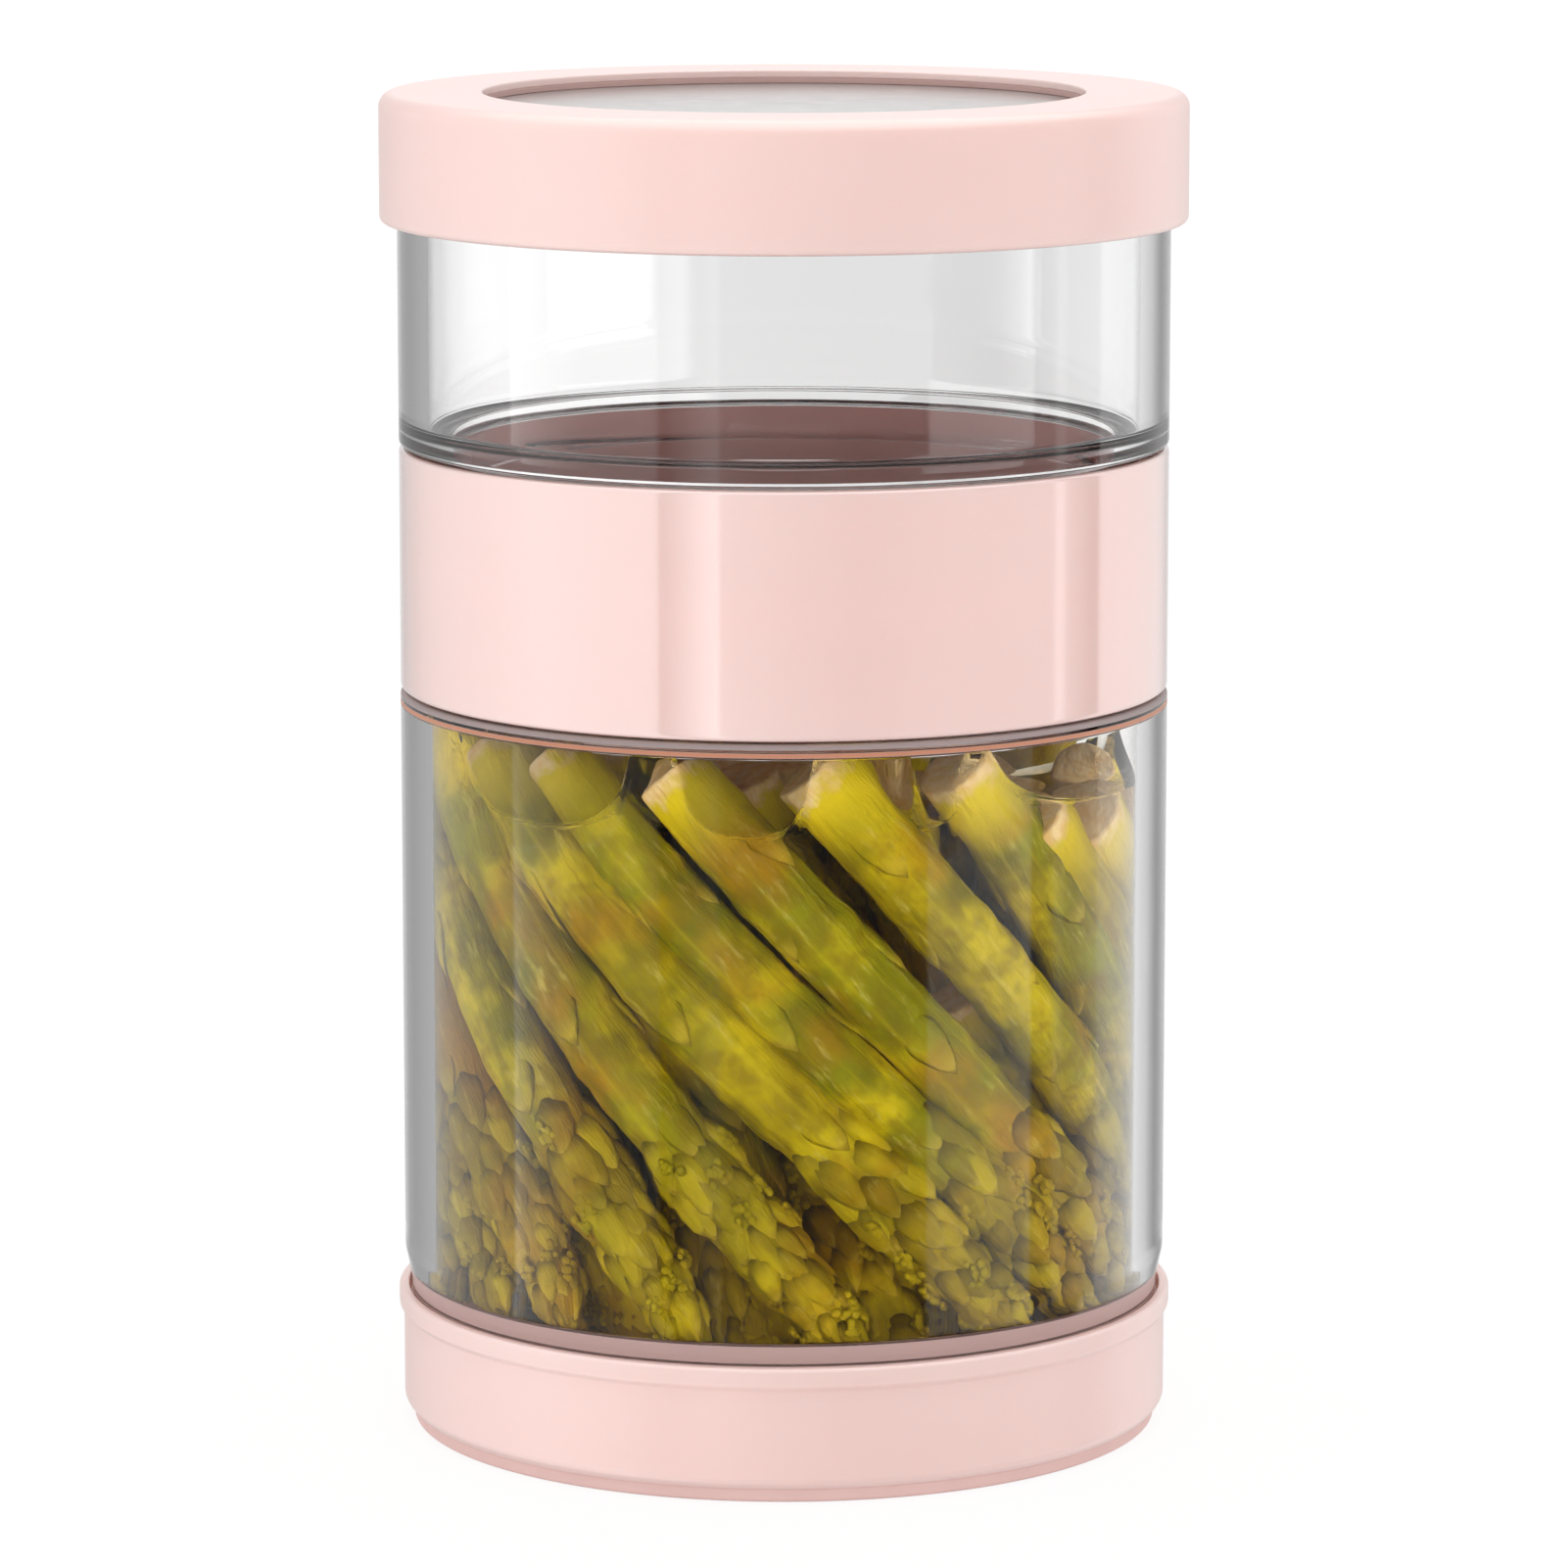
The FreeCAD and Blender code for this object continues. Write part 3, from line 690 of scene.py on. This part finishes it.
# Spears by the wall, behind those and in the middle: where the cut end and the tip stand, in degrees from
# the front towards +X, then the heights of both and the spear's radius. A reach is how far from the
# keeper's axis a group starts.
OUTER_REACH, MIDDLE_REACH, CORE_REACH = 40.5, 30.5, 17.0
OUTER = [
    (-114, -37, 91, 18.2, 4.7), (-92, -12, 90, 17.6, 4.6), (-72, 17, 91, 17.4, 4.8),
    (-50, 40, 90.5, 17.6, 5.1), (-40, 58, 91, 17.8, 4.4), (-27, 76, 90, 18.4, 4.9),
    (4, 96, 90.5, 19.0, 4.8), (27, 116, 90, 18.5, 4.7), (44, 126, 82.5, 19.0, 4.6),
    (60, 141, 81.5, 19.5, 4.7), (76, 160, 80.5, 18.5, 4.8), (96, 187, 83, 19.0, 4.9),
    (115, 211, 90, 18.0, 4.7), (139, 236, 85, 19.0, 4.9), (163, 260, 91, 18.5, 4.8),
    (188, 278, 90, 18.5, 4.6), (206, 292, 88, 18.0, 4.6), (227, 310, 90, 17.8, 4.6),
]
MIDDLE = [
    (-82, 0, 88, 13.0, 4.8), (-56, 28, 90, 12.0, 4.9), (-30, 55, 89, 10.5, 4.8),
    (-4, 78, 88, 12.0, 4.9), (24, 104, 84, 11.0, 4.8), (54, 130, 82, 10.0, 4.8),
    (84, 160, 81, 12.0, 4.9), (114, 190, 83, 11.0, 4.8), (144, 222, 89, 12.0, 4.9),
    (174, 254, 90, 10.0, 4.8), (204, 286, 88, 11.0, 4.9), (240, 330, 90, 12.0, 4.8),
    (-62, -16, 62, 14.0, 4.5), (-30, 16, 60, 12.0, 4.5), (0, 42, 62, 14.0, 4.5),
    (34, 74, 60, 12.0, 4.5),
]
CORE = [
    (-60, 10, 88, 7.0, 5.2), (0, 70, 88, 6.0, 5.3), (60, 130, 83, 6.5, 5.2),
    (120, 190, 88, 7.0, 5.3), (180, 250, 89, 6.0, 5.2), (240, 310, 88, 6.5, 5.3),
    (20, 60, 86, 6.0, 5.0),
]


def bundle():
    """Centre lines and radii of the spears.

    Each spear starts on a helix: at a constant distance from the keeper's axis, its angle goes evenly
    from the cut end's to the tip's as its height goes down. Then, again and again, spears that overlap
    at a height are moved apart by part of their overlap, each line is smoothed, and every point is
    brought inside the wall. The spears by the wall are kept against it.
    """
    spears = np.array(OUTER + MIDDLE + CORE, float)
    counts = [len(OUTER), len(MIDDLE), len(CORE)]
    reach = np.repeat([OUTER_REACH, MIDDLE_REACH, CORE_REACH], counts)[:, None]
    share = np.linspace(0, 1, STATIONS)[None, :]
    angle = np.radians(spears[:, :1] + (spears[:, 1:2] - spears[:, :1]) * share - 90)
    height = spears[:, 2:3] + (spears[:, 3:4] - spears[:, 2:3]) * share
    lines = np.stack([reach * np.cos(angle), reach * np.sin(angle), height], axis=-1)
    radii = spears[:, 4]
    head = np.clip((share - 0.5) / 0.15, 0, 1)
    room = BRINE_RADIUS - 0.5 - thickness_at(share, radii[:, None]) - HEAD_PLAY * head
    apart = 1.2 * (radii[:, None] + radii[None, :])[:, :, None]
    outer = np.arange(len(spears))[:, None] < len(OUTER)
    for _ in range(SETTLING_ROUNDS):
        gap = lines[:, None, :, :2] - lines[None, :, :, :2]
        distance = np.linalg.norm(gap, axis=-1) + 1e-6
        push = np.clip(apart - distance, 0, None) * (distance > 1e-3)
        lines[..., :2] += 0.3 * (gap / distance[..., None] * push[..., None] / 2).sum(axis=1)
        lines[:, 1:-1, :2] += 0.25 * (lines[:, :-2, :2] + lines[:, 2:, :2] - 2 * lines[:, 1:-1, :2])
        far = np.linalg.norm(lines[..., :2], axis=-1)
        wanted = np.where(outer, room, np.minimum(far, room))
        lines[..., :2] *= (wanted / np.maximum(far, 1e-6))[..., None]
    return lines, radii


def thickness_at(share, radius):
    """A spear's radius under its scale leaves, at a share of the way from its cut end to its tip."""
    along = [0, 0.3, 0.55, 0.64, 0.72, 0.82, 0.9, 0.96, 1.0]
    wide = [1.0, 0.98, 0.95, 0.9, 0.88, 0.84, 0.72, 0.5, 0.05]
    return radius * np.interp(share, along, wide)


def on_spear(line, share, angle, reach):
    """Points at a share of the way along a spear, an angle round it and a distance from its centre line.

    The centre line and its two cross directions are read between their samples.
    """
    samples = np.linspace(0, 1, len(line))
    tangent = np.gradient(line, axis=0)
    tangent /= np.linalg.norm(tangent, axis=1)[:, None]
    outward = line[len(line) // 2] * (1, 1, 0)
    side = np.cross(tangent, outward)
    side /= np.linalg.norm(side, axis=1)[:, None]
    up = np.cross(side, tangent)

    def between(values):
        return np.stack([np.interp(share, samples, values[:, k]) for k in range(3)], axis=-1)

    across = np.cos(angle)[..., None] * between(side) + np.sin(angle)[..., None] * between(up)
    return between(line) + reach[..., None] * across


def smooth_line(line, count=80):
    """The centre line with more points, each a cubic blend of the four points around it."""
    place = np.linspace(0, len(line) - 1, count)
    index = np.clip(place.astype(int), 0, len(line) - 2)
    share = (place - index)[:, None]
    padded = np.concatenate([2 * line[:1] - line[1:2], line, 2 * line[-1:] - line[-2:-1]])
    a, b, c, d = (padded[index + k] for k in range(4))
    return 0.5 * (2 * b + (c - a) * share + (2 * a - 5 * b + 4 * c - d) * share ** 2
                  + (3 * b - a - 3 * c + d) * share ** 3)


def quads_of(points, first):
    """Quads between neighbouring points of a stack of grids (count, rows, columns); columns close up."""
    count, rows, cols = points.shape[:3]
    index = first + np.arange(count * rows * cols).reshape(count, rows, cols)
    low, high = index[:, :-1], index[:, 1:]
    return np.stack([low, np.roll(low, -1, 2), np.roll(high, -1, 2), high], axis=-1).reshape(-1, 4)


def scale_leaves(line, radius, start, angle, length, width, thick, lift, bend):
    """Pointed leaves that lie along a spear, one closed grid each: rows from root to point, columns round.

    Across a leaf, the distance from the spear's centre line is the spear's radius, plus a rise that goes
    from below the skin at the root to the lift at the point, plus the leaf's thickness times the sine of
    the column's angle; the place round the spear is its half width times the cosine, plus its bend times
    the square of the row. The half width narrows from near the root to the point.
    """
    span = np.linalg.norm(np.diff(line, axis=0), axis=1).sum()
    row = np.array([0, 0.1, 0.3, 0.55, 0.8, 1.0])[None, :, None]
    col = np.linspace(0, 2 * math.pi, 8, endpoint=False)[None, None, :]
    shape = np.array([0.0, 0.8, 1.0, 0.82, 0.46, 0.0])[None, :, None]
    start, angle, length, width, thick, lift, bend = (
        np.asarray(v, float)[:, None, None] for v in (start, angle, length, width, thick, lift, bend))
    share = start + row * length / span + 0 * col
    on_line = share.clip(0, 1)
    under = thickness_at(on_line, radius)
    beyond = np.clip(share - 1, 0, None) * span
    rise = (thick + lift) * (1 - (1 - row) ** 2) - 1.15 * thick
    keel = 1 + 0.35 * np.cos(col - math.pi / 2) ** 4
    reach = under + rise + thick * keel * shape ** 0.6 * np.sin(col)
    turn = angle + (0.5 * width * shape * np.cos(col) + bend * row ** 2) / np.maximum(under, 0.6 * radius)
    return on_spear(line, on_line, turn, np.maximum(reach - beyond, 0.02)), share, row + 0 * share


def bud_beads(line, radius, share, angle, out, size):
    """Small round buds that show between the head's scale leaves: a sphere's grid each.

    A point is the bud's centre plus its size times the sphere's direction, along, round and out.
    """
    span = np.linalg.norm(np.diff(line, axis=0), axis=1).sum()
    row = np.linspace(0, math.pi, 6)[None, :, None]
    col = np.linspace(0, 2 * math.pi, 7, endpoint=False)[None, None, :]
    share, angle, out, size = (np.asarray(v, float)[:, None, None] for v in (share, angle, out, size))
    under = thickness_at(share, radius)
    along = share + 1.25 * size * np.cos(row) / span + 0 * col
    turn = angle + size * np.sin(row) * np.cos(col) / np.maximum(under, 1.0)
    reach = under + out + size * np.sin(row) * np.sin(col)
    return on_spear(line, np.clip(along, 0, 1), turn, reach), along, 0.35 + 0 * along


def pressed(points):
    """The points, with those beyond the wall brought to it and those under the floor raised to it."""
    from_wall, from_neck, from_shoulder, from_floor = 0.12, 0.4, 0.06, 0.5
    far = np.linalg.norm(points[:, :2], axis=1)
    points[:, :2] *= np.minimum(1, (BRINE_RADIUS - from_wall) / np.maximum(far, 1e-6))[:, None]
    low = np.where(far > NECK_BORE - from_neck, BRINE_FLOOR + from_shoulder, CAP_FLOOR + from_floor)
    points[:, 2] = np.maximum(points[:, 2], low)
    return points


def make_spear(name, line, radius, depth, seed):
    """One pickled spear: a fibrous stalk, a few broad leaves on it and a head of plump small ones.

    Its depth is 0 for a spear by the wall, 1 for one behind those and 2 for one in the middle.
    """
    draw = np.random.default_rng(seed)
    line = smooth_line(line)
    length = np.linalg.norm(np.diff(line, axis=0), axis=1).sum()

    leaf_count = 8
    leaf_start = np.linspace(0.06, 0.58, leaf_count) + draw.uniform(-0.02, 0.02, leaf_count)
    leaf_angle = GOLDEN * np.arange(leaf_count) + draw.uniform(0, ANY_ANGLE)
    head_count = 60
    rank = np.linspace(0, 1, head_count)
    head_start = 0.6 + 0.365 * rank ** 0.9 + draw.uniform(-0.012, 0.012, head_count)
    head_angle = (GOLDEN * np.arange(head_count) + draw.uniform(-0.5, 0.5, head_count)
                  + draw.uniform(0, ANY_ANGLE))
    buds = 9
    clusters = draw.choice(head_count - 6, 12, replace=False)
    bud_count = buds * len(clusters)
    cluster_share = np.repeat(head_start[clusters] + 5.0 / length, buds)
    cluster_angle = np.repeat(head_angle[clusters] + draw.uniform(-0.5, 0.5, len(clusters)), buds)

    # The first rows round the cut end: a dished middle, then the rim
    row = np.concatenate([[0.004, 0.002, 0.0, 0.0015, 0.005], np.linspace(0.012, 1, 88)])[:, None]
    fill = np.concatenate([[0.0, 0.55, 0.9, 0.985], np.ones(89)])[:, None]
    col = np.linspace(0, 2 * math.pi, 36, endpoint=False)[None, :]
    phase = draw.uniform(0, ANY_ANGLE, 6)
    ribs = (0.03 * np.cos(2 * col + phase[5] + 2 * row) + 0.022 * np.cos(3 * col + phase[0] + 4 * row)
            + 0.012 * np.cos(7 * col + phase[1] - 6 * row) + 0.02 * np.sin(15 * row + phase[3]))
    swell = np.zeros(np.broadcast(row, col).shape)
    for place, angle in zip(leaf_start, leaf_angle):
        near = np.exp(-((row - place) * length / 1.8) ** 2)
        swell += 0.06 * near * (0.4 + np.clip(np.cos(col - angle), 0, 1))
    reach = thickness_at(row, radius) * fill * (1 + ribs + swell)
    stalk = on_spear(line, row + 0 * col, col + 0 * row, reach)
    fibre = 0.2 * np.cos(9 * col + phase[4] + 5 * row) + 0.2 * np.cos(16 * col + phase[2] - 3 * row)

    broad, broad_along, broad_leaf = scale_leaves(
        line, radius, leaf_start, leaf_angle, draw.uniform(8, 12, leaf_count),
        draw.uniform(5.5, 7.5, leaf_count), draw.uniform(0.4, 0.6, leaf_count),
        draw.uniform(0.1, 0.6, leaf_count), draw.uniform(-0.8, 0.8, leaf_count))
    small, small_along, small_leaf = scale_leaves(
        line, radius, head_start, head_angle, 9.5 - 4.5 * rank + draw.uniform(-1.5, 1.5, head_count),
        6.2 - 3.0 * rank + draw.uniform(-0.8, 0.8, head_count),
        1.35 - 0.6 * rank + draw.uniform(-0.25, 0.25, head_count), draw.uniform(-0.1, 1.0, head_count),
        draw.uniform(-1.2, 1.2, head_count))
    beads, bead_along, bead_leaf = bud_beads(
        line, radius, cluster_share + draw.normal(0, 0.75, bud_count) / length,
        cluster_angle + draw.normal(0, 0.6, bud_count) / radius, draw.uniform(0.8, 1.2, bud_count),
        draw.uniform(0.35, 0.6, bud_count))

    def one_each(count, like):
        return draw.uniform(-1, 1, count)[:, None, None] + 0 * like

    groups = [
        (stalk[None], (row + 0 * col)[None], np.zeros((1, *stalk.shape[:2])), fibre[None]),
        (broad, broad_along, 0.4 + 0.6 * broad_leaf, 0.1 * one_each(leaf_count, broad_leaf)),
        (small, small_along, small_leaf, 0.8 * one_each(head_count, small_leaf)),
        (beads, bead_along, bead_leaf, 0.5 + 0 * bead_leaf),
    ]
    verts, quads, tint, lay, first = [], [], [], [], 0
    # Painted shade: spears that stand deeper get a lower value, so they are painted darker; the random part
    # is each spear's own tone.
    own = SHADE_AT_DEPTH[depth] + draw.uniform(-0.12, 0.12)
    for points, along, leaf, shade in groups:
        quads.append(quads_of(points, first))
        verts.append(points.reshape(-1, 3))
        tint.append(np.stack([along, leaf, 0 * along + own, shade], axis=-1).reshape(-1, 4))
        place = along.reshape(-1)
        across = verts[-1] - on_spear(line, place.clip(0, 1), 0 * place, 0 * place)
        lay.append(np.column_stack([LAY_STRETCH * place * length + LAY_APART * seed, across[:, :2]]) * MM)
        first += points[..., 0].size
    mesh = bpy.data.meshes.new(name)
    mesh.from_pydata((pressed(np.concatenate(verts)) * MM).tolist(), [], np.concatenate(quads).tolist())
    layer = mesh.color_attributes.new("tint", "FLOAT_COLOR", "POINT")
    layer.data.foreach_set("color", np.concatenate(tint).astype(np.float32).ravel())
    layer = mesh.attributes.new("lay", "FLOAT_VECTOR", "POINT")
    layer.data.foreach_set("vector", np.concatenate(lay).astype(np.float32).ravel())
    close_up(mesh)
    return in_scene(name, mesh)


def brine_surface():
    """The brine's closed surface: its underside on the base's floor, its wall and its top.

    The top is the brine's level, plus a thin rise against the wall, plus a climb to the shoulder by the
    wall that falls off inwards and is absent in the air pockets. Over a pocket, the climb is 1 less the
    root of 1 less the cube of the distance from its middle as a share of its half width.
    """
    turn = np.linspace(0, 2 * math.pi, SIDES, endpoint=False)[None, :]
    bottom, neck = CAP_FLOOR + BRINE_GAP, NECK_BORE - BRINE_GAP
    side = rounded([(0, bottom, 0), (neck, bottom, 0.3), (neck, BRINE_FLOOR, 0.4),
                    (BRINE_RADIUS, BRINE_FLOOR, 0.4), (BRINE_RADIUS, BRINE_LEVEL, 0.2), (0, BRINE_LEVEL, 0)])
    side = side[:-11]
    by_wall = BRINE_RADIUS - 0.15 * np.arange(12)
    top_radius = np.concatenate([by_wall, np.linspace(BRINE_RADIUS - 2, 0, 60)])[:, None]
    degrees = np.degrees(turn) + 90
    climb, level = np.ones(turn.shape), np.full(turn.shape, BRINE_LEVEL)
    for middle, half, low in POCKETS:
        off = np.mod(degrees - middle + 180, 360) - 180
        bowl = np.sqrt(np.clip(1 - np.abs(off / half) ** 3, 0, 1))
        climb = np.minimum(climb, 1 - bowl)
        level = level + (low - BRINE_LEVEL) * np.exp(-(off / half) ** 4)
    in_from_wall = BRINE_RADIUS - top_radius
    ceiling = LOWER_TOP - SHOULDER - 0.2
    top = level - 1.8 * (1 - np.exp(-in_from_wall / 1.1))
    top = top + (ceiling - level) * climb * np.exp(-(in_from_wall / 4.5) ** 2)
    share = np.linspace(0, 1, 13)[1:-1, None]
    wall = side[-1, 1] + share * (top[:1] - side[-1, 1])
    rows = [round_axis(side[:, :1], turn, side[:, 1:]), round_axis(BRINE_RADIUS, turn, wall),
            round_axis(top_radius, turn, top)]
    return grid_object("brine", np.concatenate(rows), wrap_rows=False)


def fill_jar():
    """The asparagus and the brine, which stand in the lower chamber."""
    skin = asparagus_skin()
    lines, radii = bundle()
    depths = [0] * len(OUTER) + [1] * len(MIDDLE) + [2] * len(CORE)
    for number, (line, radius, depth) in enumerate(zip(lines, radii, depths), start=1):
        spear = make_spear(f"asparagus_spear_{number:02d}", line, radius, depth, 100 + number)
        spear.data.materials.append(skin)
        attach(spear, "lower_jar")
    liquid = brine_surface()
    liquid.data.materials.append(brine_liquid())
    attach(liquid, "lower_jar")


# ---------------------------------------------------------------- studio

CAMERA_DISTANCE = 0.9254
CAMERA_HEIGHT = 0.2363
CAMERA_PITCH = math.radians(9.46)
LENS = 167.9
FLOOR_SIZE = 12.0
FLOOR_GLOW = 1.04
GLOW_SHARE = 0.8  # how much of the floor's look is its own glow, which leaves the rest to the shadow

# What polished faces see around the keeper: degrees from the camera's side, positive towards +X, and
# brightness there
PANELS = [
    (-180, 1.0), (-160, 0.55), (-145, 0.6), (-110, 1.1), (-76, 1.65), (-38, 1.45), (-37.5, 0.05),
    (-19.4, 2.1), (-18.6, 1.0), (0, 0.7), (23, 0.43), (50, 0.6), (87, 0.65), (88, 1.4), (91, 1.4),
    (92.5, 0.6), (104, 0.02), (107.6, 0.02), (108.4, 1.0), (150, 0.85), (163, 0.6), (180, 1.0),
]
# What the inner faces of clear walls see by reflection
INNER_PANELS = [
    (-180, 0.8), (-168, 0.25), (-137, 0.4), (-93.5, 0.6), (-93, 3.0), (-89, 1.8), (-65, 0.05),
    (45.5, 0.05), (46, 2.2), (83, 2.2), (83.5, 0.2), (90, 0.2), (113, 1.2), (150, 0.6), (160, 0.1),
    (166, 0.1), (180, 0.8),
]
# What shows through the clear walls: the viewing direction's part along +X, and brightness there
BACKDROP = [
    (-0.03, 1.1), (-0.025, 0.93), (0.044, 0.93), (0.046, 0.78), (0.075, 0.72), (0.12, 0.9), (0.35, 1.3),
]
PEAK = 3.0  # the brightest level in the tables
OVERHEAD = 2.2
OVERHEAD_INSIDE = 1.0
# Makes up for what the brine and the wall hold back, so that what stands in the brine keeps its colour
BRINE_LIGHT = 3.1
# A ray from a matt face has passed more surfaces than this when it comes from within the brine
SURFACES_ROUND_BRINE = 5.5


def make_camera():
    """The camera that the keeper is shown from."""
    camera = in_scene("camera", bpy.data.cameras.new("camera"))
    camera.data.lens = LENS
    camera.data.clip_end = 50
    camera.location = (0, -CAMERA_DISTANCE, CAMERA_HEIGHT)
    camera.rotation_euler = (math.pi / 2 - CAMERA_PITCH, 0, 0)
    bpy.context.scene.camera = camera


def choice(tree, share, first, second):
    """A level between two, first where the share is 0 and second where it is 1."""
    kept = maths(tree, "MULTIPLY", first, maths(tree, "SUBTRACT", 1.0, share))
    return maths(tree, "ADD", kept, maths(tree, "MULTIPLY", second, share))


def levels(tree, value, table):
    """The level that a table of places and levels gives at a value, straight between its rows."""
    first, last = table[0][0], table[-1][0]
    ramp = tree.nodes.new("ShaderNodeValToRGB")
    elements = ramp.color_ramp.elements
    for number, (place, level) in enumerate(table):
        share = (place - first) / (last - first)
        stop = elements[number] if number < 2 else elements.new(share)
        stop.position = share
        stop.color = (level / PEAK,) * 3 + (1,)
    tree.links.new(spread(tree, value, first, last), ramp.inputs["Fac"])
    return maths(tree, "MULTIPLY", ramp.outputs["Color"], PEAK)


def make_world():
    """A plain soft studio: white behind everything, and tall panels that polished faces reflect.

    The camera sees white. Matt surfaces are lit evenly from all round, but those in the brine by a light
    BRINE_LIGHT times stronger, most of it from the sides. A ray that has only passed straight through the
    walls of a clear chamber sees the backdrop. A reflection within a wall sees the inner panels, any other
    one sees the panels, and both see the light overhead.
    """
    world = bpy.data.worlds.new("studio")
    bpy.context.scene.world = world
    world.use_nodes = True
    world.cycles.sampling_method = "NONE"
    tree = world.node_tree
    background = tree.nodes["Background"]
    place = tree.nodes.new("ShaderNodeTexCoord")
    axes = tree.nodes.new("ShaderNodeSeparateXYZ")
    tree.links.new(place.outputs["Generated"], axes.inputs[0])
    across, height = axes.outputs["X"], axes.outputs["Z"]
    angle = maths(tree, "ARCTAN2", across, maths(tree, "MULTIPLY", axes.outputs["Y"], -1.0))
    degrees = maths(tree, "MULTIPLY", angle, 180 / math.pi)
    overhead = spread(tree, height, 0.5, 0.8)
    outer = choice(tree, overhead, levels(tree, degrees, PANELS), OVERHEAD)
    inner = choice(tree, overhead, levels(tree, degrees, INNER_PANELS), OVERHEAD_INSIDE)
    backdrop = levels(tree, across, BACKDROP)
    rays = tree.nodes.new("ShaderNodeLightPath").outputs

    def beyond(depth, count):
        return maths(tree, "GREATER_THAN", rays[f"{depth} Depth"], count)

    from_below = spread(tree, height, -0.6, 0.15, 0.3 * BRINE_LIGHT, 1.75 * BRINE_LIGHT)
    sideways = maths(tree, "MULTIPLY", from_below, spread(tree, height, 0.15, 0.4, 1.0, 0.2))
    evenly = spread(tree, height, -1.0, 1.0, 0.9, 1.1)
    soft = choice(tree, beyond("Transmission", SURFACES_ROUND_BRINE), evenly, sideways)
    reflected = choice(tree, beyond("Transmission", 0.5), outer, inner)
    straight = maths(tree, "LESS_THAN", rays["Glossy Depth"], 0.5)
    through = maths(tree, "MULTIPLY", beyond("Transmission", 1.5), straight)
    seen = choice(tree, through, reflected, backdrop)
    level = choice(tree, rays["Is Camera Ray"], choice(tree, beyond("Diffuse", 0.5), seen, soft), 1.0)
    tree.links.new(level, background.inputs["Strength"])
    background.inputs["Color"].default_value = (1, 1, 1, 1)


def make_floor():
    """A pale floor that looks white and keeps a faint shadow of the keeper."""
    mesh = bpy.data.meshes.new("floor")
    half = FLOOR_SIZE / 2
    corners = [(-half, -half, 0), (half, -half, 0), (half, half, 0), (-half, half, 0)]
    mesh.from_pydata(corners, [], [(0, 1, 2, 3)])
    floor = in_scene("floor", mesh)
    floor.visible_glossy = False
    floor.visible_transmission = False
    material, tree, shader = new_material("pale_floor", Base_Color=(0.92, 0.92, 0.92, 1), Roughness=0.9)
    glow = add_node(tree, "ShaderNodeEmission", Strength=FLOOR_GLOW)
    rays = tree.nodes.new("ShaderNodeLightPath")
    mix = tree.nodes.new("ShaderNodeMixShader")
    tree.links.new(maths(tree, "MULTIPLY", rays.outputs["Is Camera Ray"], GLOW_SHARE), mix.inputs["Fac"])
    tree.links.new(shader.outputs["BSDF"], mix.inputs[1])
    tree.links.new(glow.outputs["Emission"], mix.inputs[2])
    tree.links.new(mix.outputs["Shader"], tree.nodes["Material Output"].inputs["Surface"])
    floor.data.materials.append(material)


bpy.context.scene.view_settings.view_transform = "Standard"
make_camera()
make_world()
make_floor()
build_keeper()
fill_jar()
